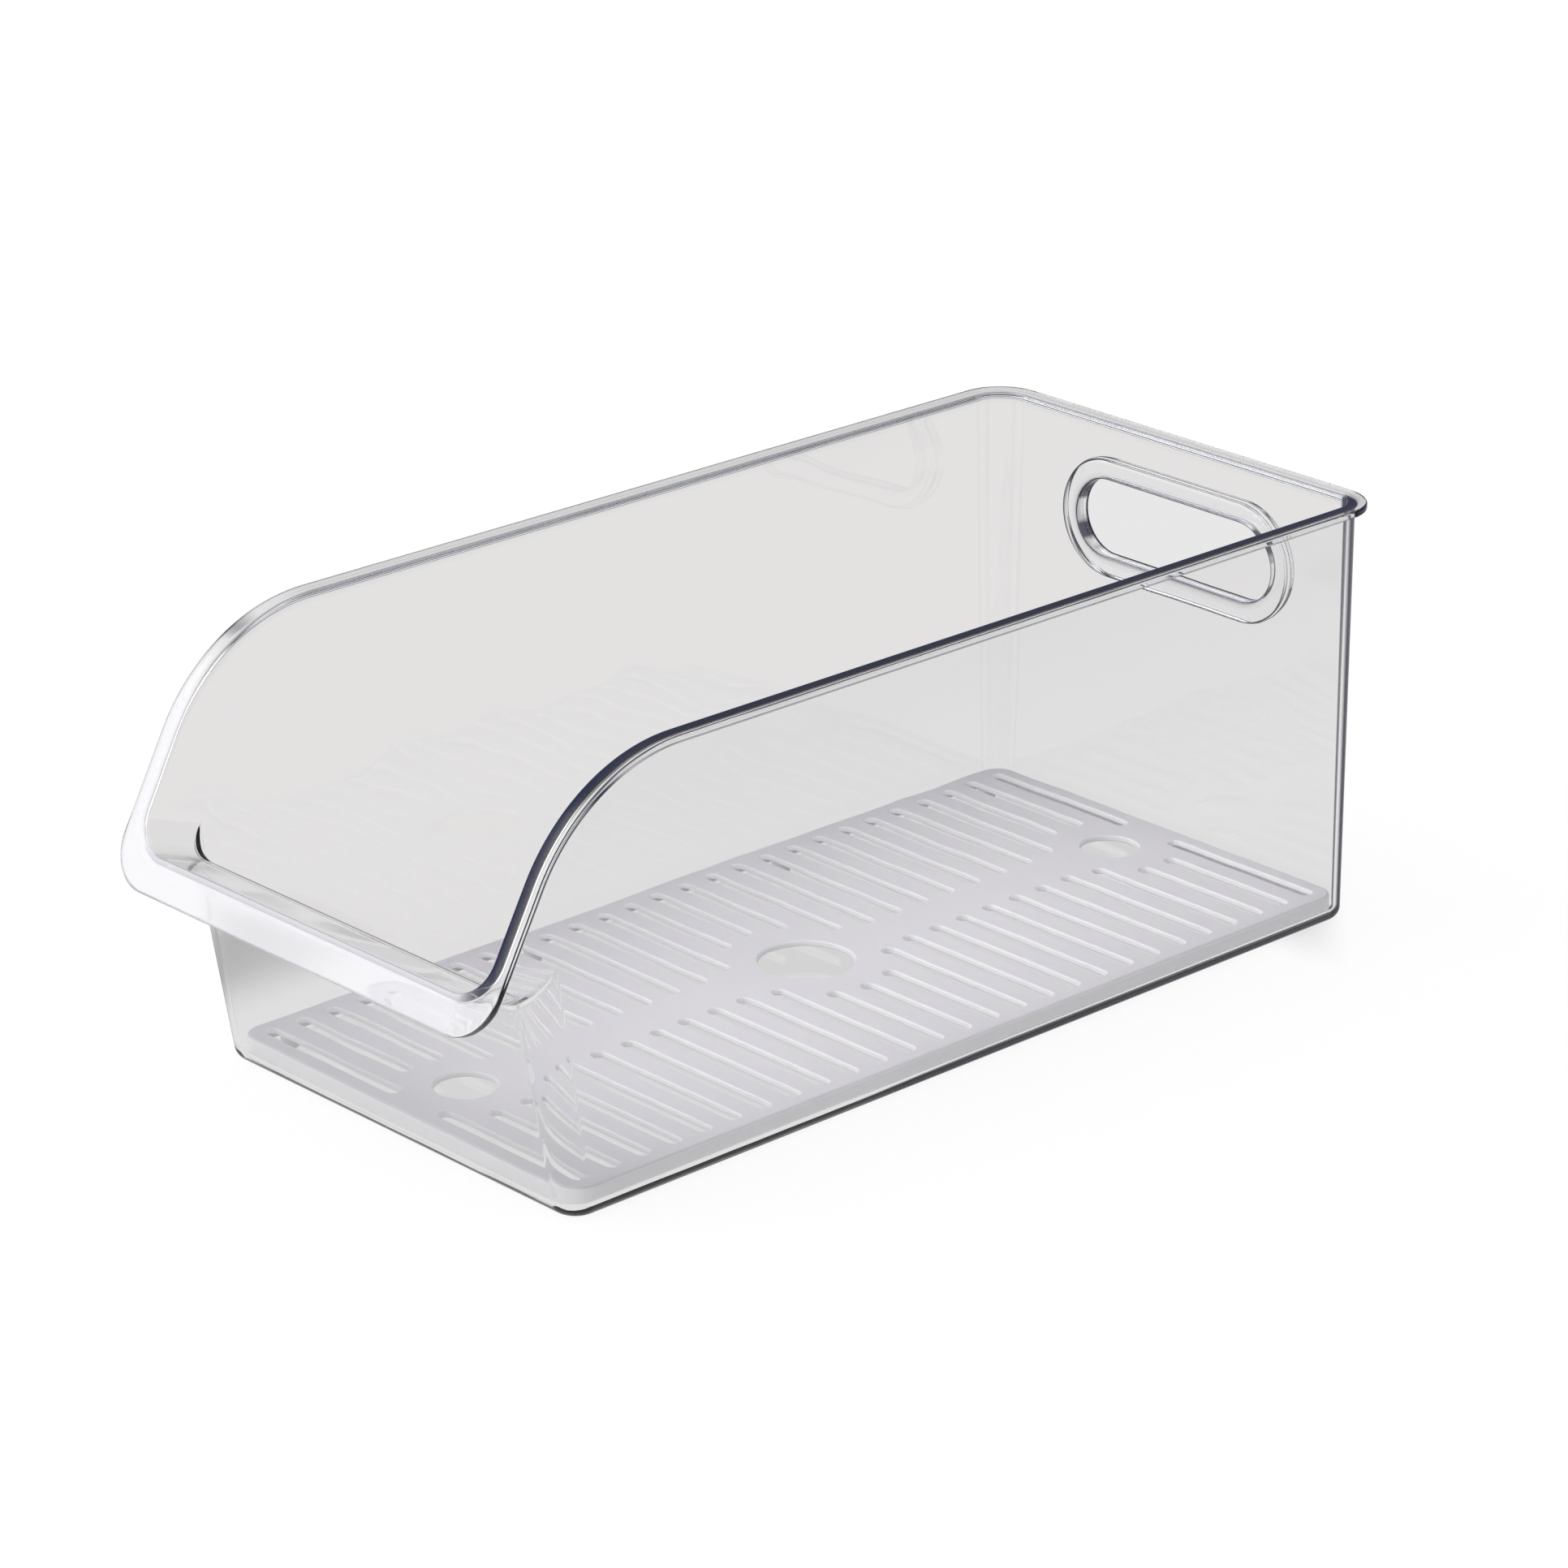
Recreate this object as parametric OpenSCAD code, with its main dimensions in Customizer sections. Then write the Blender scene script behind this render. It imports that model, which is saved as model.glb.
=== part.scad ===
// Clear fridge drawer organizer: a scoop-fronted bin with a pull lip and a
// rear grip hole, and a slotted drain tray that lifts out of it.
// Millimetres. X is the width, +Y the rear, +Z up. The origin lies on the
// resting plane, under the middle of the overall length.

/* [Bin size] */
// Width over the rim
rim_w = 145; // [120:1:180]
// Height over the rim
rim_h = 120; // [110:1:150]
// Length from the foot of the front wall to the rear edge of the rim
body_l = 285; // [240:1:340]
// Reach of the pull lip in front of the foot
lip_reach = 32; // [28:1:38]

/* [Bin walls] */
// Thickness of the side, rear and front walls
wall_t = 2; // [1.6:0.1:2.6]
// Thickness of the floor
floor_t = 2; // [1.5:0.1:3]
// How far the rim stands out from the walls
rim_out = 3.2; // [2.4:0.1:4]
// Thickness of the rim and of the pull lip
rim_t = 2; // [1.5:0.1:2.6]
// How far each side wall draws in from the rim to the foot
side_draft = 1; // [0.5:0.1:3]
// How far the rear wall draws in from the rim to the foot
rear_draft = 0.6; // [0.4:0.1:2]
// Lean of the front wall from upright, in degrees
front_lean = 10.5; // [8:0.5:12]
// Corner radius of the foot, seen from above
foot_r = 7; // [5:0.5:10]
// Corner radius of the walls at the rim, seen from above
top_r = 10; // [8:0.5:13]
// Radius of the edge between the floor and the walls
base_r = 3.5; // [2.5:0.1:4.5]

/* [Scoop and pull lip] */
// Radius of the bend where the side walls start to fall
scoop_r = 52; // [44:1:56]
// Lean of the falling side edge from upright, in degrees
scoop_lean = 28.5; // [26:0.5:31]
// Height of the lip's lower edge
lip_z = 57.5; // [54:0.5:60]
// Height of the lip's crest
crest_z = 66.5; // [65:0.5:69]
// Rise of the ledge towards the crest, in degrees
ledge_rise = 20; // [17:0.5:23]
// Inside corner radius between the ledge and the cheeks
ledge_r = 10; // [8:0.5:12]
// Outside corner radius of the lip
lip_r = 13; // [10:0.5:16]

/* [Rear grip hole] */
// Length of the grip hole
grip_l = 71.5; // [60:0.5:80]
// Height of the grip hole
grip_h = 22.5; // [19:0.5:25]
// Height of the middle of the grip hole
grip_z = 92; // [90:0.5:95]
// Width of the collar round the hole
collar_w = 5.7; // [4:0.1:7]
// How far the collar stands out behind the wall
collar_back = 2; // [1:0.1:2.5]
// How far the collar stands out inside the bin
collar_in = 1; // [0.5:0.1:1.5]

/* [Drain tray] */
// Gap between the tray and the walls, on every side
tray_gap = 1; // [0.6:0.1:2]
// Clearance between the feet and the floor
seat_gap = 0.2; // [0.1:0.05:0.4]
// Height of the tray's feet
foot_h = 3.5; // [3:0.5:8]
// Diameter of a foot
foot_d = 5; // [4:0.5:6]
// Thickness of the tray's plate
plate_t = 1.8; // [1.4:0.1:2.4]
// How far the turned-down edge ends above the underside of the feet
edge_lift = 0.6; // [0.4:0.1:2]
// Thickness of the turned-down edge
edge_t = 1.4; // [1.2:0.1:1.6]
// Diameter of the middle lifting hole
mid_hole_d = 26; // [20:1:30]
// Diameter of the two end lifting holes
end_hole_d = 16.5; // [12:0.5:20]

/* [Drain slots] */
// Slots along the tray, an odd number
slot_count = 27; // [21:2:29]
// Width of a slot
slot_w = 4; // [3:0.1:4.4]
// Solid margin past the first and the last slot
slot_margin = 4.7; // [4.4:0.1:8]
// Solid margin at the outer end of a slot
side_margin = 4.2; // [3:0.1:7]
// Width of the plain spine between the two columns
spine_w = 13; // [10:0.5:18]
// Solid ring kept round a lifting hole
hole_ring = 9; // [6:0.5:10]

/* [Hidden] */
eps = 0.01;
past = 20;                       // how far a cutter runs past what it cuts
hair = 0.05;                     // keeps the spout's sides just inside the walls
hull_fn = 32;
$fn = 96;

// Stations along the length
overall_l = body_l + lip_reach;
rear_y = overall_l / 2;          // rear edge of the rim
foot_y = rear_y - body_l;        // foot of the front wall
lip_y = -overall_l / 2;          // front edge of the lip

// Outer faces of the walls
top_half = rim_w / 2 - rim_out;
foot_half = top_half - side_draft;
rear_top_y = rear_y - rim_out;
rear_foot_y = rear_top_y - rear_draft;
front_top_y = foot_y - rim_h * tan(front_lean);
function side_half_at(z) = foot_half + side_draft * z / rim_h;
function rear_y_at(z) = rear_foot_y + rear_draft * z / rim_h;
function front_y_at(z) = foot_y - z * tan(front_lean);

// Scoop: a line leaning back from the lip, a bend, and the level rim
bend_end_z = rim_h - scoop_r + scoop_r * sin(scoop_lean);
bend_end_y = lip_y + (bend_end_z - lip_z) * tan(scoop_lean);
bend_y = bend_end_y + scoop_r * cos(scoop_lean);
bend_z = rim_h - scoop_r;
crest_y = lip_y + (crest_z - lip_z) * tan(scoop_lean);

// Heights above the ledge's own slope, for the lip's prism-shaped pieces
function ledge_w(y, z) = y * sin(ledge_rise) + z * cos(ledge_rise);
crest_w = ledge_w(crest_y, crest_z);
lip_w = ledge_w(lip_y, lip_z);
cheek_half = side_half_at(bend_end_z);
spout_back_y = foot_y + foot_r + 4;

// Tray
plate_top_z = floor_t + seat_gap + foot_h + plate_t;
tray_bottom_z = floor_t + seat_gap;
edge_h = foot_h + plate_t - edge_lift;
tray_half = side_half_at(tray_bottom_z) - wall_t - tray_gap;
tray_rear_y = rear_y_at(tray_bottom_z) - wall_t - tray_gap;
tray_front_y = foot_y + wall_t + tray_gap;
tray_l = tray_rear_y - tray_front_y;
tray_mid_y = (tray_rear_y + tray_front_y) / 2;
tray_r = foot_r - wall_t - tray_gap + 2;
slot_pitch = (tray_l - 2 * slot_margin - slot_w) / (slot_count - 1);
slot_out_x = tray_half - side_margin;
end_hole_dy = slot_pitch * ((slot_count - 1) / 2 - 1.5);
foot_dx = tray_half - edge_t - foot_d / 2 - 3;
last_land = slot_count / 2 - 1;  // in pitches from the middle, as is the next
inner_land = floor(last_land / 3) + 0.5;

// Flat shape with round ends, lying along X
module stadium(length, height) {
    square([length - height, height], center = true);
    for (side = [-1, 1])
        translate([side * (length - height) / 2, 0]) circle(d = height);
}

// Flat rectangle with round corners, from its middle
module round_rect(w, l, r) {
    square([w - 2 * r, l], center = true);
    square([w, l - 2 * r], center = true);
    for (x = [-1, 1], y = [-1, 1])
        translate([x * (w / 2 - r), y * (l / 2 - r)]) circle(r = r);
}

// Solid of the drafted body, its faces moved in by inset; its underside at z0
module body_block(inset, z0) {
    low_r = foot_r - inset;
    high_r = top_r - inset;
    edge_r = base_r - (inset > 0 ? wall_t / 2 : 0);
    z1 = z0 + edge_r;
    y_high = rear_top_y - inset - high_r;
    y_low = rear_y_at(z1) - inset - low_r;
    hull() {
        for (x = [-1, 1]) {
            for (y = [y_low, front_y_at(z1) + inset + low_r])
                translate([x * (side_half_at(z1) - inset - low_r), y, z1])
                    rotate_extrude($fn = hull_fn)
                        intersection() {
                            translate([low_r - edge_r, 0]) circle(r = edge_r, $fn = hull_fn);
                            translate([0, -edge_r]) square([low_r, edge_r]);
                        }
            for (y = [y_high, front_top_y + inset + high_r])
                translate([x * (top_half - inset - high_r), y, rim_h])
                    cylinder(r = high_r, h = inset > 0 ? past : eps, $fn = hull_fn);
        }
    }
}

// Side view of everything under the scoop, moved in by inset
module scoop_side(inset) {
    line_z = lip_z - past;
    line_y = lip_y - past * tan(scoop_lean) + inset / cos(scoop_lean);
    r = scoop_r - inset;
    polygon([
        [rear_y + past, -past],
        [rear_y + past, rim_h - inset],
        [bend_y, rim_h - inset],
        [bend_y - r * cos(scoop_lean), bend_z + r * sin(scoop_lean)],
        [line_y, line_z],
        [line_y, -past]
    ]);
    translate([bend_y, bend_z]) circle(r = r, $fn = 180);
}

// The scoop's side view as a solid across the width
module under_scoop(inset) {
    rotate([90, 0, 90])
        translate([0, 0, -rim_w])
            linear_extrude(2 * rim_w) scoop_side(inset);
}

// Prism along the ledge's slope with a round-cornered bottom at height w
module ledge_prism(half, w, r, back_y) {
    far_t = -lip_y + 2 * past;
    back_t = -back_y * cos(ledge_rise) + lip_z * sin(ledge_rise);
    rotate([90 - ledge_rise, 0, 0])
        translate([0, 0, back_t])
            linear_extrude(far_t - back_t + rim_h * sin(ledge_rise)) {
                translate([-half, w + r]) square([2 * half, rim_h * 2]);
                translate([-half + r, w]) square([2 * (half - r), 2 * r]);
                for (side = [-1, 1])
                    translate([side * (half - r), w + r]) circle(r = r);
            }
}

// Space between the two drafted side faces, moved in by inset
module side_wedge(inset) {
    low = foot_half - side_draft * past / rim_h - inset;
    high = top_half + side_draft * past / rim_h - inset;
    rotate([90, 0, 0])
        translate([0, 0, -rear_y - past])
            linear_extrude(overall_l + 2 * past)
                polygon([[-low, -past], [low, -past], [high, rim_h + past], [-high, rim_h + past]]);
}

// Flared mouth in front of the front wall, above the ledge
module spout(inset) {
    intersection() {
        ledge_prism(cheek_half - inset, crest_w - wall_t + inset,
                    ledge_r + wall_t - inset, spout_back_y);
        side_wedge(inset + hair);
    }
}

// Rim all round, widening into the pull lip at the front
module rim_band() {
    intersection() {
        difference() {
            under_scoop(0);
            under_scoop(rim_t);
        }
        ledge_prism(rim_w / 2, lip_w, lip_r, rear_y + past);
        translate([0, 0, -past])
            linear_extrude(rim_h + 2 * past)
                translate([0, rear_y - overall_l])
                    round_rect(rim_w, 2 * overall_l, top_r + rim_out);
    }
}

// Collar round the grip hole, on the rear wall
module grip_collar() {
    front = rear_y_at(grip_z) - wall_t - collar_in;
    back = rear_y_at(grip_z) + collar_back;
    translate([0, back, grip_z])
        rotate([90, 0, 0])
            linear_extrude(back - front)
                stadium(grip_l + 2 * collar_w, grip_h + 2 * collar_w);
}

// Cutter for the grip hole
module grip_hole() {
    translate([0, rear_y + past, grip_z])
        rotate([90, 0, 0])
            linear_extrude(rim_out + wall_t + 2 * past)
                stadium(grip_l, grip_h);
}

// One moulding: floor, walls, rim, ledge, pull lip and grip hole
module bin() {
    color([0.90, 0.92, 0.97, 0.45])
        difference() {
            union() {
                difference() {
                    union() {
                        intersection() {
                            union() {
                                body_block(0, 0);
                                spout(0);
                            }
                            under_scoop(0);
                        }
                        rim_band();
                    }
                    body_block(wall_t, floor_t);
                    spout(wall_t);
                }
                grip_collar();
            }
            grip_hole();
        }
}

// Inner end of the slots in a row, kept clear of the lifting holes
function ring_x(dy, d) =
    abs(dy) < d / 2 + hole_ring ? sqrt(pow(d / 2 + hole_ring, 2) - pow(dy, 2)) : 0;
function slot_in_x(dy) =
    max(spine_w / 2, ring_x(dy, mid_hole_d),
        ring_x(abs(dy) - end_hole_dy, end_hole_d));

// Plate with its two columns of slots and three lifting holes
module slotted_plate() {
    linear_extrude(plate_t)
        difference() {
            round_rect(2 * tray_half, tray_l, tray_r);
            for (i = [0 : slot_count - 1], side = [-1, 1]) {
                dy = (i - (slot_count - 1) / 2) * slot_pitch;
                length = slot_out_x - slot_in_x(dy);
                translate([side * (slot_out_x - length / 2), dy]) stadium(length, slot_w);
            }
            circle(d = mid_hole_d);
            for (side = [-1, 1])
                translate([0, side * end_hole_dy]) circle(d = end_hole_d);
        }
}

// Edge turned down round the plate
module turned_edge() {
    linear_extrude(edge_h)
        difference() {
            round_rect(2 * tray_half, tray_l, tray_r);
            round_rect(2 * (tray_half - edge_t), tray_l - 2 * edge_t, tray_r - edge_t);
        }
}

// Feet under the lands between the slots
module tray_feet() {
    for (x = [-1, 1], land = [-last_land, -inner_land, inner_land, last_land])
        translate([x * foot_dx, land * slot_pitch, 0])
            cylinder(d = foot_d, h = foot_h + plate_t / 2);
}

// One moulding: slotted plate, turned-down edge and eight feet
module drain_tray() {
    color([0.82, 0.82, 0.85])
        translate([0, tray_mid_y, tray_bottom_z]) {
            translate([0, 0, foot_h]) slotted_plate();
            translate([0, 0, edge_lift]) turned_edge();
            tray_feet();
        }
}

bin();
drain_tray();
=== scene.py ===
"""Looks of a clear fridge bin and its lift-out drain tray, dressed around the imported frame.

Sizes are in millimetres in the bench frame of the frame: X is the width, +Y the rear, +Z up.
Meshes are scaled to metres as they are made.
"""
from __future__ import annotations

import logging
import math
from dataclasses import dataclass, field
from enum import Enum, IntEnum
from typing import Any, Callable, Sequence

import bpy
import numpy as np
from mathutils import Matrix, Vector
from mathutils.geometry import delaunay_2d_cdt


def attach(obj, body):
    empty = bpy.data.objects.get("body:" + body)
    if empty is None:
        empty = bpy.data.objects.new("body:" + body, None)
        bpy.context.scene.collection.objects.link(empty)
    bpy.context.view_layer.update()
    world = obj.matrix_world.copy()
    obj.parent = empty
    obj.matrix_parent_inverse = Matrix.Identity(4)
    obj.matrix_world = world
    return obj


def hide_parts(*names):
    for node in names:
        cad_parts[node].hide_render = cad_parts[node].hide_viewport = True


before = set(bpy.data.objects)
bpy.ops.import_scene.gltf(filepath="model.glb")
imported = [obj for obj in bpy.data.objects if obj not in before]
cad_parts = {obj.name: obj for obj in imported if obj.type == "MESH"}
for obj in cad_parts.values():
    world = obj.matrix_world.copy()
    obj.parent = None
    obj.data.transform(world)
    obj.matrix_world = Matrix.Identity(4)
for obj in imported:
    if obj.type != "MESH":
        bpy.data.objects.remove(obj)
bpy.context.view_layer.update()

LOG = logging.getLogger("fridge_bin")
MM = 0.001
TINY = 1e-9
MERGE_WITHIN = 1e-6
ALL_TRIANGLES = 0
EDGE_TURNS = 4
PAINTED_DARK_LINES = "painted_dark_lines"
PAINTED_LIP_HIGHLIGHT = "painted_lip_highlight"
Array = np.ndarray
Span = tuple[float, float]
Colour = tuple[float, float, float, float]
WHITE: Colour = (1.0, 1.0, 1.0, 1.0)
MIX_FIRST, MIX_SECOND, MIX_RESULT = 6, 7, 2


def sin_d(degrees: float) -> float:
    """Sine of an angle in degrees."""
    return math.sin(math.radians(degrees))


def cos_d(degrees: float) -> float:
    """Cosine of an angle in degrees."""
    return math.cos(math.radians(degrees))


def tan_d(degrees: float) -> float:
    """Tangent of an angle in degrees."""
    return math.tan(math.radians(degrees))


def lerp(a: Any, b: Any, t: Any) -> Any:
    """Value between a and b at the share t."""
    return a + (b - a) * t


def ramp(value: Any, span: Span) -> Any:
    """Share of the way from a span's start to its end, held between 0 and 1."""
    start, end = span
    return np.clip((value - start) / (end - start), 0, 1)


def points_of(x: Any, y: Any, z: Any) -> Array:
    """Points from their coordinates, each an array or one number for all."""
    return np.stack(np.broadcast_arrays(x, y, z), -1)


def linked(name: str, data: Any) -> bpy.types.Object:
    """Makes an object of a mesh or a camera and adds it to the scene."""
    made = bpy.data.objects.new(name, data)
    bpy.context.scene.collection.objects.link(made)
    return made


def join_round(a: Array, b: Array, radius: Any) -> Array:
    """Distance to two solids joined with a rounded inside corner.

    Args:
        a: Signed distance to the first solid, negative inside.
        b: Signed distance to the second solid.
        radius: Radius of the fillet, a number or one for each point.

    Returns:
        Signed distance to the joined solid.
    """
    fillet = np.hypot(np.maximum(radius - a, 0), np.maximum(radius - b, 0))
    return np.maximum(radius, np.minimum(a, b)) - fillet


def keep_round(a: Array, b: Array, radius: Any) -> Array:
    """Distance to what two solids share, with a rounded outside edge.

    Args:
        a: Signed distance to the first solid, negative inside.
        b: Signed distance to the second solid.
        radius: Radius of the edge, a number or one for each point.

    Returns:
        Signed distance to the shared solid.
    """
    edge = np.hypot(np.maximum(radius + a, 0), np.maximum(radius + b, 0))
    return np.minimum(-radius, np.maximum(a, b)) + edge


def stadium_distance(x: Array, z: Array, length: float, height: float) -> Array:
    """Signed distance to a flat shape with round ends that lies along X."""
    core = (length - height) / 2
    return np.hypot(np.maximum(np.abs(x) - core, 0), z) - height / 2


def corner_distance(u: Array, v: Array) -> Array:
    """Signed distance to the quarter plane u < 0, v < 0, with a round corner outside."""
    return np.hypot(np.maximum(u, 0), np.maximum(v, 0)) + np.minimum(np.maximum(u, v), 0)


@dataclass(frozen=True)
class BinSizes:
    """Sizes of the bin, as its mould has them."""

    rim_w: float = 145.0
    rim_h: float = 120.0
    body_l: float = 285.0
    lip_reach: float = 32.0
    wall_t: float = 2.0
    floor_t: float = 2.0
    rim_out: float = 3.2
    rim_t: float = 2.0
    side_draft: float = 1.0
    rear_draft: float = 0.6
    front_lean: float = 10.5
    foot_r: float = 7.0
    top_r: float = 10.0
    base_r: float = 3.5
    scoop_r: float = 52.0
    scoop_lean: float = 28.5
    lip_z: float = 57.5
    crest_z: float = 66.5
    ledge_rise: float = 20.0
    ledge_r: float = 10.0
    lip_r: float = 13.0
    grip_l: float = 71.5
    grip_h: float = 22.5
    grip_z: float = 92.0
    collar_w: float = 5.7
    collar_back: float = 2.0
    collar_in: float = 1.0
    edge_r: float = 0.55
    root_r: float = 0.8
    crease_r: float = 1.6
    collar_root_r: float = 0.5
    hole_edge_r: float = 0.8
    seam_back: float = 24.5

    @property
    def rear(self) -> float:
        """Rear edge of the rim."""
        return (self.body_l + self.lip_reach) / 2

    @property
    def foot(self) -> float:
        """Foot of the front wall."""
        return self.rear - self.body_l

    @property
    def lip_y(self) -> float:
        """Front edge of the pull lip."""
        return -self.rear

    @property
    def seam_y(self) -> float:
        """Station behind which the mouth has no part in the walls."""
        return self.foot + self.seam_back

    @property
    def inner_base_r(self) -> float:
        """Radius between the floor and the walls inside."""
        return self.base_r - self.wall_t / 2

    @property
    def grip_core(self) -> float:
        """Half length of the grip hole between its round ends."""
        return (self.grip_l - self.grip_h) / 2

    @property
    def bend(self) -> tuple[float, float]:
        """Middle of the scoop's bend, in Y and Z."""
        end_z = self.rim_h - self.scoop_r + self.scoop_r * sin_d(self.scoop_lean)
        end_y = self.lip_y + (end_z - self.lip_z) * tan_d(self.scoop_lean)
        return end_y + self.scoop_r * cos_d(self.scoop_lean), self.rim_h - self.scoop_r

    @property
    def crest_w(self) -> float:
        """Height of the crest above the ledge's slope."""
        crest_y = self.lip_y + (self.crest_z - self.lip_z) * tan_d(self.scoop_lean)
        return self.slope_height(crest_y, self.crest_z)

    @property
    def lip_w(self) -> float:
        """Height of the lip's lower edge above the ledge's slope."""
        return self.slope_height(self.lip_y, self.lip_z)

    def slope_height(self, y: Any, z: Any) -> Any:
        """Height above the ledge's own slope."""
        return y * sin_d(self.ledge_rise) + z * cos_d(self.ledge_rise)

    def side_at(self, z: Any) -> Any:
        """Half width over the side walls at a height."""
        top = self.rim_w / 2 - self.rim_out
        return top - self.side_draft * (1 - z / self.rim_h)

    def inner_side_at(self, z: Any) -> Any:
        """Half width between the side walls at a height."""
        return self.side_at(z) - self.wall_t

    def rim_side_at(self, z: Any) -> Any:
        """Half width over the rim, the same at every height."""
        return np.full(np.shape(z), self.rim_w / 2)

    def mouth_r(self, inset: float) -> float:
        """Radius of the mouth's lower corners, its faces moved in by inset."""
        return self.ledge_r + self.wall_t - inset

    def rear_at(self, z: Any) -> Any:
        """Outer face of the rear wall at a height."""
        return self.rear - self.rim_out - self.rear_draft * (1 - z / self.rim_h)

    def front_at(self, z: Any) -> Any:
        """Outer face of the front wall at a height."""
        return self.foot - z * tan_d(self.front_lean)

    def corner_at(self, z: Any) -> Any:
        """Outer corner radius of the walls at a height."""
        return lerp(self.foot_r, self.top_r, z / self.rim_h)


@dataclass(frozen=True)
class PaintedEdgeMarks:
    """Where painted dark lines and a painted highlight lie on the bin's edges, in millimetres, and
    how strongly.

    Each span runs from the distance without a mark to the distance with the full mark.

    Attributes:
        top: Distance from the scooped top of the walls.
        wall: Distance from the hollow, over the walls.
        near: Distance outside the side wall's outer face on +X.
        lip: Distance ahead of the front wall's foot.
        line: Distance from the hollow's edge, along the far rim.
        face: Distance behind the collar's inner face.
        hole: Distance from the marked line round the grip hole.
        bore_from: Distance above or below the hole's middle where the painted dark marks at its
            ends begin.
        bore_to: Distance above or below the hole's middle where they end.
        hole_offset: How far outside the hole its inner edge's mark lies.
        grip_reach: How far ahead of the collar its marks may reach.
        pale_share: Share of the painted highlight along the lip.
        pale_wall_share: What the painted highlight's share gains over the walls.
        line_share: Share of the painted dark line along the far rim.
        hole_share: Share of the painted dark line round the grip hole's inner edge.
    """

    top: Span = (0.65, 0.15)
    wall: Span = (2.9, 2.0)
    near: Span = (-9.0, -3.0)
    lip: Span = (0.0, 10.0)
    line: Span = (0.56, 0.16)
    face: Span = (1.2, 0.8)
    hole: Span = (0.6, 0.2)
    bore_from: Span = (2.6, 3.8)
    bore_to: Span = (8.6, 7.4)
    hole_offset: float = 0.3
    grip_reach: float = 0.5
    pale_share: float = 0.42
    pale_wall_share: float = 0.3
    line_share: float = 0.6
    hole_share: float = 0.55


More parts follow.
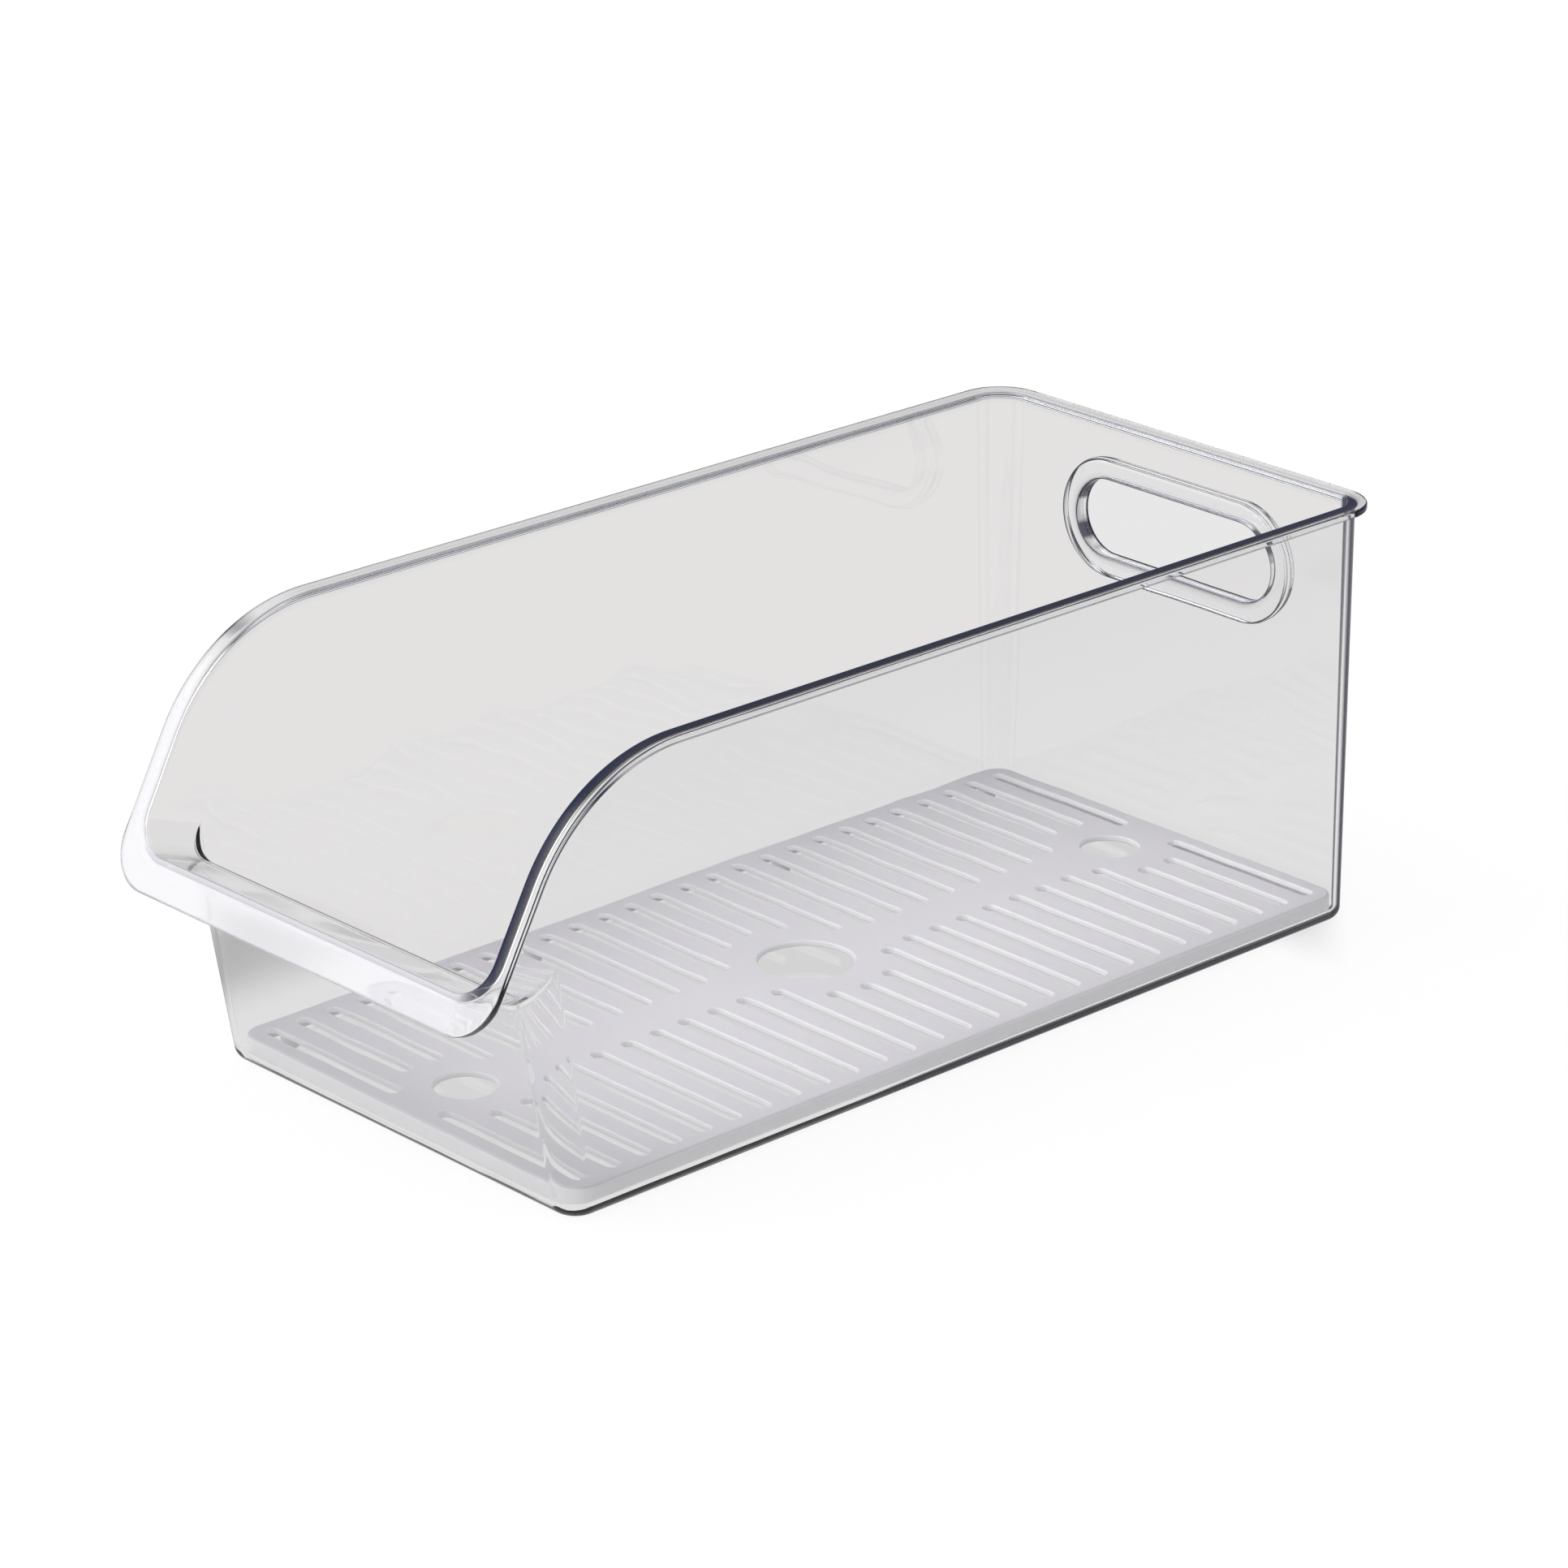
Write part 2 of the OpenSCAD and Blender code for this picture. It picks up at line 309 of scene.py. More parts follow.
@dataclass
class BinShape:
    """Signed distance to the bin's plastic, with its small edges rounded."""

    size: BinSizes
    marks: PaintedEdgeMarks = PaintedEdgeMarks()

    def scoop(self, y: Array, z: Array) -> Array:
        """Distance above the scooped top of the walls."""
        s = self.size
        bend_y, bend_z = s.bend
        ahead, up = y - bend_y, z - bend_z
        slope = -ahead * cos_d(s.scoop_lean) + up * sin_d(s.scoop_lean)
        past_bend = ahead * sin_d(s.scoop_lean) + up * cos_d(s.scoop_lean) < 0
        bent = np.where(past_bend, slope, np.hypot(ahead, up))
        return np.where(ahead > 0, up, bent) - s.scoop_r

    def body(self, p: Array, inset: float, floor_z: float, edge_r: float) -> Array:
        """Distance to the drafted body, its faces moved in by inset."""
        s = self.size
        x, y, z = np.abs(p[..., 0]), p[..., 1], p[..., 2]
        radius = s.corner_at(z) - inset
        rear, front = s.rear_at(z) - inset, s.front_at(z) + inset
        across = x - (s.side_at(z) - inset - radius)
        along = np.abs(y - (rear + front) / 2) - ((rear - front) / 2 - radius)
        return keep_round(corner_distance(across, along) - radius, floor_z - z, edge_r)

    def mouth(self, p: Array, inset: float) -> Array:
        """Distance to the flared mouth above the ledge, moved in by inset."""
        s = self.size
        side = np.abs(p[..., 0]) - (s.side_at(p[..., 2]) - inset)
        under = s.crest_w - s.wall_t + inset - s.slope_height(p[..., 1], p[..., 2])
        return keep_round(side, under, s.mouth_r(inset))

    def body_and_mouth(self, p: Array, inset: float, floor_z: float, edge_r: float) -> Array:
        """Distance to the body joined with its mouth, the crease between them rounded."""
        s = self.size
        body = self.body(p, inset, floor_z, edge_r)
        from_side = s.side_at(p[..., 2]) - inset - np.abs(p[..., 0])
        crease = s.crease_r * np.clip(from_side / s.ledge_r, 0, 1)
        joined = join_round(body, self.mouth(p, inset), crease)
        return np.where(p[..., 1] < s.seam_y, joined, body)

    def hollow(self, p: Array) -> Array:
        """Distance to the hollow inside the walls."""
        s = self.size
        return self.body_and_mouth(p, s.wall_t, s.floor_t, s.inner_base_r)

    def outline(self, p: Array) -> Array:
        """Distance to the outer outline of the rim and the lip."""
        s = self.size
        x, y, z = np.abs(p[..., 0]), p[..., 1], p[..., 2]
        radius = s.top_r + s.rim_out
        rear = corner_distance(x - (s.rim_w / 2 - radius), y - (s.rear - radius)) - radius
        front = keep_round(x - s.rim_w / 2, s.lip_w - s.slope_height(y, z), s.lip_r)
        return np.where(y > 0, rear, front)

    def distance(self, p: Array) -> Array:
        """Distance to the finished plastic, negative inside it.

        Args:
            p: Points, with X, Y and Z in the last axis.

        Returns:
            Signed distance at each point.
        """
        s = self.size
        x, y, z = p[..., 0], p[..., 1], p[..., 2]
        top = self.scoop(y, z)
        flange = keep_round(self.outline(p), -(top + s.rim_t), s.edge_r)
        walls = self.body_and_mouth(p, 0.0, 0.0, s.base_r)
        shell = keep_round(join_round(walls, flange, s.root_r), top, s.edge_r)
        shell = keep_round(shell, -self.hollow(p), s.edge_r)
        face, back = self.collar_faces()
        ring = stadium_distance(x, z - s.grip_z, s.grip_l + 2 * s.collar_w,
                                s.grip_h + 2 * s.collar_w)
        collar = keep_round(ring, np.abs(y - (face + back) / 2) - (back - face) / 2, s.edge_r)
        shell = join_round(shell, collar, s.collar_root_r)
        hole = stadium_distance(x, z - s.grip_z, s.grip_l, s.grip_h)
        return keep_round(shell, -hole, s.hole_edge_r)

    def collar_faces(self) -> tuple[float, float]:
        """Inner and outer face of the grip hole's collar, in Y."""
        s = self.size
        wall = s.rear_at(s.grip_z)
        return wall - s.wall_t - s.collar_in, wall + s.collar_back

    def painted_edge_shares(self, p: Array) -> tuple[Array, Array]:
        """Shares of painted dark lines and of a painted highlight at points of the surface.

        Args:
            p: Points on the surface.

        Returns:
            The painted dark lines' share and the painted highlight's share, each from 0 to 1.
        """
        s, marks = self.size, self.marks
        x, y, z = p[..., 0], p[..., 1], p[..., 2]
        hollow = self.hollow(p)
        on_top = ramp(np.abs(self.scoop(y, z)), marks.top)
        over_wall = ramp(hollow, marks.wall)
        near = ramp(x - s.side_at(z), marks.near)
        lip = ramp(s.foot - y, marks.lip) * (1 - near)
        # Painted highlight: a pale band along the lip, stronger over the wall, in place of the
        # front light it catches.
        pale = on_top * lip * (marks.pale_share + marks.pale_wall_share * over_wall)
        far_line = on_top * ramp(np.abs(hollow), marks.line) * (1 - near) * (1 - lip)
        # Painted dark lines on the near rim over the wall, along the far rim and at the grip hole,
        # in place of the dark refractions and reflections there.
        shares = [on_top * over_wall * near, marks.line_share * far_line, *self.painted_grip_shares(p)]
        return np.max(shares, axis=0), np.clip(pale, 0, 1)

    def painted_grip_shares(self, p: Array) -> tuple[Array, Array]:
        """Shares of the painted dark line round the grip hole's inner edge and of the painted dark
        marks at the ends of its bore.
        """
        s, marks = self.size, self.marks
        x, y, z = p[..., 0], p[..., 1], p[..., 2] - s.grip_z
        face, _ = self.collar_faces()
        from_hole = stadium_distance(x, z, s.grip_l, s.grip_h)
        at_grip = y > face - marks.grip_reach
        at_edge = ramp(y - face, marks.face)
        at_edge = at_edge * ramp(np.abs(from_hole - marks.hole_offset), marks.hole)
        in_bore = ramp(np.abs(from_hole), marks.hole) * (x < -s.grip_core)
        off_middle = ramp(np.abs(z), marks.bore_from) * ramp(np.abs(z), marks.bore_to)
        return marks.hole_share * at_grip * at_edge, at_grip * in_bore * off_middle

    def slope(self, p: Array, step: float = 0.001) -> Array:
        """Direction and steepness of the distance at each point, over a small step."""
        parts = []
        for shift in np.eye(3) * step:
            parts.append((self.distance(p + shift) - self.distance(p - shift)) / (2 * step))
        return np.stack(parts, axis=-1)

    def settle(self, p: Array, rounds: int = 14, longest: float = 0.8) -> Array:
        """Moves points onto the surface.

        Args:
            p: Points near the surface.
            rounds: Number of steps.
            longest: Longest move in one step.

        Returns:
            The points on the surface.
        """
        for _ in range(rounds):
            slope = self.slope(p)
            square = np.maximum((slope ** 2).sum(-1), TINY)
            move = -slope * (self.distance(p) / square)[..., None]
            length = np.maximum(np.linalg.norm(move, axis=-1, keepdims=True), TINY)
            p = p + move * np.minimum(1, longest / length)
        return p

    def normals(self, p: Array) -> Array:
        """Unit normals that point out of the plastic."""
        slope = self.slope(p)
        return slope / np.maximum(np.linalg.norm(slope, axis=-1, keepdims=True), TINY)


def near_offsets(radius: float, count: int) -> list[float]:
    """Distances from a sharp corner whose points settle evenly on its round edge."""
    if radius <= 0:
        return []
    angles = [math.pi / 4 * (count - i) / count for i in range(1, count + 1)]
    return [radius * (1 - math.tan(angle)) for angle in angles]


@dataclass
class Rail:
    """A sharp line that rows of points run along.

    Attributes:
        points: One point for each column.
        radius: Radius of the rounded edge along the line, 0 for none.
        between: Plain rows between this rail and the next.
    """

    points: Array
    radius: float
    between: int


def rows_along(rails: Sequence[Rail], turns: int = EDGE_TURNS) -> tuple[list[Array], list[int]]:
    """Rows of points from the first rail to the last, closer together at round edges.

    Args:
        rails: The rails in order.
        turns: Rows on each side of a rail with a radius.

    Returns:
        The rows, and the row number of each rail.
    """
    rows: list[Array] = []
    at: list[int] = []
    for here, there in zip(rails, rails[1:]):
        gap = np.linalg.norm(there.points - here.points, axis=-1, keepdims=True)
        gap = np.maximum(gap, TINY)
        at.append(len(rows))
        rows.append(here.points)
        near = near_offsets(here.radius, turns)
        far = near_offsets(there.radius, turns)
        rows += [lerp(here.points, there.points, off / gap) for off in near]
        start = (near[-1] if near else 0) / gap
        stop = 1 - (far[-1] if far else 0) / gap
        for i in range(here.between):
            share = lerp(start, stop, (i + 1) / (here.between + 1))
            rows.append(lerp(here.points, there.points, share))
        rows += [lerp(there.points, here.points, off / gap) for off in reversed(far)]
    at.append(len(rows))
    rows.append(rails[-1].points)
    return rows, at


@dataclass
class MeshParts:
    """Points, faces and normals of one closed mesh as it grows."""

    points: list[Array] = field(default_factory=list)
    normals: list[Array] = field(default_factory=list)
    faces: list[Sequence[int]] = field(default_factory=list)
    count: int = 0

    def add_points(self, points: Array, normals: Array) -> Array:
        """Adds points and returns their numbers."""
        numbers = np.arange(self.count, self.count + len(points))
        self.points.append(points)
        self.normals.append(normals)
        self.count += len(points)
        return numbers

    def add_face(self, numbers: Sequence[int]) -> None:
        """Adds one face round its point numbers."""
        self.faces.append(tuple(int(n) for n in numbers))

    def bridge(self, first: Array, second: Array) -> None:
        """Joins two closed rings of point numbers with quads."""
        for quad in zip(first, np.roll(first, -1), np.roll(second, -1), second):
            self.add_face(quad)

    def without_loose_points(self) -> MeshParts:
        """The same mesh without the points that no face uses."""
        used = np.zeros(self.count, bool)
        used[[n for face in self.faces for n in face]] = True
        place = np.cumsum(used) - 1
        kept = MeshParts()
        kept.add_points(np.concatenate(self.points)[used], np.concatenate(self.normals)[used])
        kept.faces = [tuple(int(place[n]) for n in face) for face in self.faces]
        return kept

    def to_object(self, name: str) -> bpy.types.Object:
        """Makes the Blender object, faces turned outwards and shaded by the normals.

        Args:
            name: Name of the object and its mesh.

        Returns:
            The new object, in metres.
        """
        points = np.concatenate(self.points)
        normals = np.concatenate(self.normals)
        faces = []
        for face in self.faces:
            corner = points[list(face)]
            turned = np.cross(corner, np.roll(corner, -1, axis=0)).sum(0)
            outward = normals[list(face)].sum(0)
            faces.append(tuple(face) if turned @ outward >= 0 else tuple(reversed(face)))
        mesh = bpy.data.meshes.new(name)
        mesh.from_pydata((points * MM).tolist(), [], faces)
        mesh.validate()
        mesh.shade_smooth()
        mesh.normals_split_custom_set_from_vertices(normals.tolist())
        return linked(name, mesh)


@dataclass(frozen=True)
class ColumnCounts:
    """Columns of points on each stretch of half the bin's perimeter."""

    rear: int = 26
    rear_corner: int = 12
    level: int = 48
    fall: int = 44
    front_corner: int = 22
    front: int = 20


@dataclass(frozen=True)
class RowCounts:
    """Plain rows of points between one sharp line of the bin and the next."""

    foot: int = 8
    wall: int = 15
    rim_top: int = 3
    rim_face: int = 1
    rim_under: int = 2
    patch: int = 3
    collar: int = 2
    bore: int = 1


class Line(IntEnum):
    """Numbers of the sharp lines above and below the grip hole's patches."""

    INNER_CREASE = 2
    INNER_TOP = 3
    OUTER_TOP = 6
    OUTER_CREASE = 7


@dataclass(frozen=True)
class RimLine:
    """A sharp line along the rim, the scoop and the lip.

    Attributes:
        half: Half width at a height.
        low_w: Height of its lowest edge above the ledge's slope.
        low_r: Radius of its lower corners.
        rear_y: Its rearmost place.
        rear_r: Radius of its rear corners.
    """

    half: Callable[[Any], Any]
    low_w: float
    low_r: float
    rear_y: float
    rear_r: float


@dataclass
class BinMesh:
    """The bin's closed mesh: rings of points settled on its rounded shape."""

    size: BinSizes = field(default_factory=BinSizes)
    counts: ColumnCounts = field(default_factory=ColumnCounts)
    rows: RowCounts = field(default_factory=RowCounts)
    patch_half: float = 48.0
    floor_margin: float = 0.8
    collar_edge_share: float = 0.7

    def __post_init__(self) -> None:
        """Sets up the shape and the shares of the way along each stretch."""
        self.shape = BinShape(self.size)
        c = self.counts
        self.along_rear = np.arange(c.rear) / c.rear
        self.along_corner = np.arange(c.rear_corner) / c.rear_corner
        self.along_level = np.arange(c.level) / c.level
        self.along_fall = np.arange(c.fall) / c.fall
        self.along_front_corner = np.arange(c.front_corner) / c.front_corner
        self.along_front = np.arange(c.front + 1) / c.front

    def stretches(self, values: Array) -> list[Array]:
        """Splits values given for every column into the six stretches."""
        c = self.counts
        ends = np.cumsum([c.rear, c.rear_corner, c.level, c.fall, c.front_corner])
        return np.split(values, ends)

    def column_count(self) -> int:
        """Number of columns on half the perimeter."""
        c = self.counts
        return c.rear + c.rear_corner + c.level + c.fall + c.front_corner + c.front + 1

    def wall_ring(self, inset: float, height: Any, reach: float) -> Array:
        """Half ring on the upright walls.

        Args:
            inset: How far the ring lies inside the outer faces.
            height: Height, one number or one for each column.
            reach: Distance from the side at which the front corner's columns end.

        Returns:
            One point for each column, from the middle of the rear to the middle of the front.
        """
        s = self.size
        z = np.broadcast_to(np.asarray(height, float), (self.column_count(),))
        side, radius = self.stretches(s.side_at(z) - inset), self.stretches(s.corner_at(z) - inset)
        rear, front = self.stretches(s.rear_at(z) - inset), self.stretches(s.front_at(z) + inset)
        bend_y, _ = s.bend
        turn = (1 - self.along_corner) * math.pi / 2
        arc = radius[4] * math.pi / 2
        way = (arc + reach - radius[4]) * self.along_front_corner
        angle = np.minimum(way / radius[4], math.pi / 2)
        past = np.maximum(way - arc, 0)
        across = [
            (side[0] - radius[0]) * self.along_rear,
            side[1] - radius[1] * (1 - np.cos(turn)),
            side[2],
            side[3],
            side[4] - radius[4] * (1 - np.cos(angle)) - past,
            (side[5] - reach) * (1 - self.along_front),
        ]
        along = [
            rear[0],
            rear[1] - radius[1] * (1 - np.sin(turn)),
            lerp(rear[2] - radius[2], bend_y, self.along_level),
            lerp(bend_y, front[3] + radius[3], self.along_fall),
            front[4] + radius[4] * (1 - np.sin(angle)),
            front[5],
        ]
        return points_of(np.concatenate(across), np.concatenate(along), z)

    def crease_ring(self, inset: float, rounds: int = 30) -> Array:
        """Half ring where the walls meet the ledge, level along the sides and rear.

        Args:
            inset: How far the ring lies inside the outer faces.
            rounds: Number of steps in which its height settles.

        Returns:
            One point for each column.
        """
        s = self.size
        reach = s.mouth_r(inset)
        floor_w = s.crest_w - s.wall_t + inset
        height = np.full(self.column_count(), s.lip_z)
        sides = self.counts.rear + self.counts.rear_corner + self.counts.level + self.counts.fall
        for _ in range(rounds):
            ring = self.wall_ring(inset, height, reach)
            into = np.maximum(ring[:, 0] - (s.side_at(ring[:, 2]) - inset - reach), 0)
            w = floor_w + reach - np.sqrt(np.maximum(reach ** 2 - into ** 2, 0))
            height = (w - ring[:, 1] * sin_d(s.ledge_rise)) / cos_d(s.ledge_rise)
            height[:sides] = height[sides]
        return self.wall_ring(inset, height, reach)

    def corner_turns(self, crease: Array, inset: float) -> Array:
        """Angle round the mouth's lower corner for each front corner column."""
        s = self.size
        reach = s.mouth_r(inset)
        points = self.stretches(crease)[4]
        into = (points[:, 0] - (s.side_at(points[:, 2]) - inset - reach)) / reach
        return np.arccos(np.clip(into, -1, 1))

    def rim_ring(self, line: RimLine, drop: float, turns: Array) -> Array:
        """Half ring along the rim, the scoop and the lip.

        Args:
            line: The line that the ring follows.
            drop: How far it lies under the top of the rim.
            turns: Angle round the lower corner for each front corner column.

        Returns:
            One point for each column.
        """
        s = self.size
        top_z = s.rim_h - drop
        wide, rear_y, rear_r = line.half(top_z), line.rear_y, line.rear_r
        turn = (1 - self.along_corner) * math.pi / 2
        bend_y, bend_z = s.bend
        bend_r = s.scoop_r - drop
        lean, rise = s.scoop_lean, s.ledge_rise
        start_y = bend_y - bend_r * cos_d(lean)
        start_z = bend_z + bend_r * sin_d(lean)
        over_low = s.slope_height(start_y, start_z) - line.low_w
        bend_l = bend_r * math.radians(90 - lean)
        fall_l = (over_low - line.low_r) / cos_d(lean - rise)
        way = (bend_l + fall_l) * self.along_fall
        angle = np.minimum(way / bend_r, math.radians(90 - lean))
        past = np.maximum(way - bend_l, 0)
        fall_y = bend_y - bend_r * np.sin(angle) - past * sin_d(lean)
        fall_z = bend_z + bend_r * np.cos(angle) - past * cos_d(lean)
        corner_l = (over_low - line.low_r * (1 - np.sin(turns))) / cos_d(lean - rise)
        corner_y, corner_z = start_y - corner_l * sin_d(lean), start_z - corner_l * cos_d(lean)
        low_l = over_low / cos_d(lean - rise)
        low_y, low_z = start_y - low_l * sin_d(lean), start_z - low_l * cos_d(lean)
        return np.concatenate([
            points_of((wide - rear_r) * self.along_rear, rear_y, top_z),
            points_of(wide - rear_r * (1 - np.cos(turn)), rear_y - rear_r * (1 - np.sin(turn)),
                      top_z),
            points_of(wide, lerp(rear_y - rear_r, bend_y, self.along_level), top_z),
            points_of(line.half(fall_z), fall_y, fall_z),
            points_of(line.half(corner_z) - line.low_r * (1 - np.cos(turns)), corner_y, corner_z),
            points_of((line.half(low_z) - line.low_r) * (1 - self.along_front), low_y, low_z),
        ])

    def rails(self) -> list[Rail]:
        """Sharp lines of the bin, from the floor inside, over the rim, to the underside."""
        s, rows = self.size, self.rows
        inner_reach, outer_reach = s.mouth_r(s.wall_t), s.mouth_r(0.0)
        inner_crease, outer_crease = self.crease_ring(s.wall_t), self.crease_ring(0.0)
        inner_turns = self.corner_turns(inner_crease, s.wall_t)
        outer_turns = self.corner_turns(outer_crease, 0.0)
        rear_wall = s.rear - s.rim_out
        inner = RimLine(s.inner_side_at, s.crest_w, inner_reach, rear_wall - s.wall_t,
                        s.top_r - s.wall_t)
        rim = RimLine(s.rim_side_at, s.lip_w, s.lip_r, s.rear, s.top_r + s.rim_out)
        outer = RimLine(s.side_at, s.crest_w - s.wall_t, outer_reach, rear_wall, s.top_r)
        floor_inset = s.wall_t + s.inner_base_r + self.floor_margin
        return [
            Rail(self.wall_ring(floor_inset, s.floor_t, inner_reach), 0, 0),
            Rail(self.wall_ring(s.wall_t, s.floor_t, inner_reach), s.inner_base_r, rows.foot),
            Rail(inner_crease, s.crease_r, rows.wall),
            Rail(self.rim_ring(inner, 0, inner_turns), s.edge_r, rows.rim_top),
            Rail(self.rim_ring(rim, 0, inner_turns), s.edge_r, rows.rim_face),
            Rail(self.rim_ring(rim, s.rim_t, inner_turns), s.edge_r, rows.rim_under),
            Rail(self.rim_ring(outer, s.rim_t, outer_turns), s.root_r, rows.wall),
            Rail(outer_crease, s.crease_r, rows.foot),
            Rail(self.wall_ring(0.0, 0.0, outer_reach), s.base_r, 0),
            Rail(self.wall_ring(s.base_r + self.floor_margin, 0.0, outer_reach), 0, 0),
        ]

    def whole_ring(self, half: Array) -> Array:
        """Adds the mirrored left half to a half ring."""
        return np.concatenate([half, half[-2:0:-1] * np.array([-1.0, 1.0, 1.0])])

    def patch_loop(self, numbers: Array, low: int, high: int, columns: int) -> list[int]:
        """Point numbers round a patch of the rear wall.

        Args:
            numbers: Point number of each row and column.
            low: Row at the patch's lower side.
            high: Row at the patch's upper side.
            columns: Columns from the middle to the patch's side.

        Returns:
            The loop: lower side, right side, upper side, left side.
        """
        across = list(range(-columns, columns + 1))
        up = list(range(low, high, 1 if high > low else -1))[1:]
        loop = [numbers[low, i] for i in across]
        loop += [numbers[i, columns] for i in up]
        loop += [numbers[high, i] for i in reversed(across)]
        loop += [numbers[i, -columns] for i in reversed(up)]
        return loop

    def grip_ring(self, loop: Array, radius: float, y: float) -> Array:
        """Round-ended ring at a distance from the grip hole's core, in line with a loop."""
        s = self.size
        middle = points_of(np.clip(loop[:, 0], -s.grip_core, s.grip_core), y, s.grip_z)
        away = (loop - middle) * np.array([1.0, 0.0, 1.0])
        return middle + away / np.linalg.norm(away, axis=-1, keepdims=True) * radius

    def grip_rows(self, inner: Array, outer: Array) -> list[Array]:
        """Rows from the inner patch, over the collar and through the hole, to the outer patch."""
        s, rows = self.size, self.rows
        face, back = self.shape.collar_faces()
        wall_out = s.rear_at(s.grip_z)
        wall_in = wall_out - s.wall_t
        hole, ring = s.grip_h / 2, s.grip_h / 2 + s.collar_w
        face_edge_r = s.edge_r * self.collar_edge_share
        lofted, _ = rows_along([
            Rail(inner, 0, rows.patch),
            Rail(self.grip_ring(inner, ring, wall_in), s.collar_root_r, 0),
            Rail(self.grip_ring(inner, ring, face), face_edge_r, rows.collar),
            Rail(self.grip_ring(inner, hole, face), s.hole_edge_r, rows.bore),
            Rail(self.grip_ring(outer, hole, back), s.hole_edge_r, rows.collar),
            Rail(self.grip_ring(outer, ring, back), s.edge_r, 0),
            Rail(self.grip_ring(outer, ring, wall_out), s.collar_root_r, rows.patch),
            Rail(outer, 0, 0),
        ])
        return lofted[1:-1]

    def cover(self, parts: MeshParts, numbers: Array, patches: Sequence[tuple[int, int]],
              columns: int) -> None:
        """Adds the faces between the rings, but for the two patches round the grip hole.

        Args:
            parts: The mesh that takes the faces.
            numbers: Point number of each row and column.
            patches: First row of each patch and the row after its last.
            columns: Columns from the middle to a patch's side.
        """
        count = numbers.shape[1]
        for i in range(len(numbers) - 1):
            at_patch = any(low <= i < high - 1 for low, high in patches)
            for j in range(count):
                if at_patch and min(j, count - 1 - j) < columns:
                    continue
                k = (j + 1) % count
                parts.add_face((numbers[i, j], numbers[i, k], numbers[i + 1, k], numbers[i + 1, j]))
        parts.add_face(numbers[0])
        parts.add_face(numbers[-1])

    def build(self, name: str) -> bpy.types.Object:
        """Builds the bin's closed mesh.

        Args:
            name: Name of the piece.

        Returns:
            The Blender object, in metres.
        """
        s = self.size
        rows, at = rows_along(self.rails())
        grid = self.shape.settle(np.stack([self.whole_ring(row) for row in rows]))
        flat = grid.reshape(-1, 3)
        parts = MeshParts()
        numbers = parts.add_points(flat, self.shape.normals(flat)).reshape(grid.shape[:2])
        half_w = s.side_at(s.grip_z) - s.corner_at(s.grip_z)
        columns = round(self.patch_half / half_w * self.counts.rear)
        patches = [(at[start] + EDGE_TURNS + 1, at[stop] - EDGE_TURNS) for start, stop in (
            (Line.INNER_CREASE, Line.INNER_TOP), (Line.OUTER_TOP, Line.OUTER_CREASE))]
        self.cover(parts, numbers, patches, columns)
        (inner_low, inner_high), (outer_high, outer_low) = patches
        inner = self.patch_loop(numbers, inner_low, inner_high - 1, columns)
        outer = self.patch_loop(numbers, outer_low - 1, outer_high, columns)
        last = np.array(inner)
        for row in self.grip_rows(flat[inner], flat[outer]):
            points = self.shape.settle(row)
            ring = parts.add_points(points, self.shape.normals(points))
            parts.bridge(last, ring)
            last = ring
        parts.bridge(last, np.array(outer))
        closed = parts.without_loose_points()
        LOG.info("%s: %d points, %d faces", name, closed.count, len(closed.faces))
        return closed.to_object(name)


@dataclass(frozen=True)
class Outline:
    """A flat closed curve made of arcs: each point is a centre plus a direction times a radius.

    Attributes:
        centres: Arc centre of each point, in X and Y.
        ways: Unit direction of each point from its centre.
        radius: Radius of the arcs.
    """

    centres: Array
    ways: Array
    radius: float

    def at(self, offset: float) -> Array:
        """Points of the curve moved outwards by an offset."""
        return self.centres + self.ways * (self.radius + offset)

    @staticmethod
    def round_rect(half_w: float, half_l: float, middle_y: float, radius: float,
                   steps: int = 12) -> Outline:
        """Rectangle with round corners."""
        centres, ways = [], []
        for quarter, (sx, sy) in enumerate(((1, 1), (-1, 1), (-1, -1), (1, -1))):
            turn = np.linspace(quarter, quarter + 1, steps + 1) * math.pi / 2
            centre = (sx * (half_w - radius), middle_y + sy * (half_l - radius))
            centres.append(np.tile(centre, (steps + 1, 1)))
            ways.append(np.stack([np.cos(turn), np.sin(turn)], -1))
        return Outline(np.concatenate(centres), np.concatenate(ways), radius)

    @staticmethod
    def stadium(middle: tuple[float, float], length: float, width: float,
                steps: int = 10) -> Outline:
        """Shape with round ends that lies along X."""
        centres, ways = [], []
        for side in (1, -1):
            turn = (np.linspace(-0.5, 0.5, steps + 1) + (0 if side > 0 else 1)) * math.pi
            centre = (middle[0] + side * (length - width) / 2, middle[1])
            centres.append(np.tile(centre, (steps + 1, 1)))
            ways.append(np.stack([np.cos(turn), np.sin(turn)], -1))
        return Outline(np.concatenate(centres), np.concatenate(ways), width / 2)

    @staticmethod
    def circle(middle: tuple[float, float], diameter: float, steps: int = 64) -> Outline:
        """Circle."""
        turn = np.arange(steps) / steps * 2 * math.pi
        ways = np.stack([np.cos(turn), np.sin(turn)], -1)
        return Outline(np.tile(middle, (steps, 1)), ways, diameter / 2)


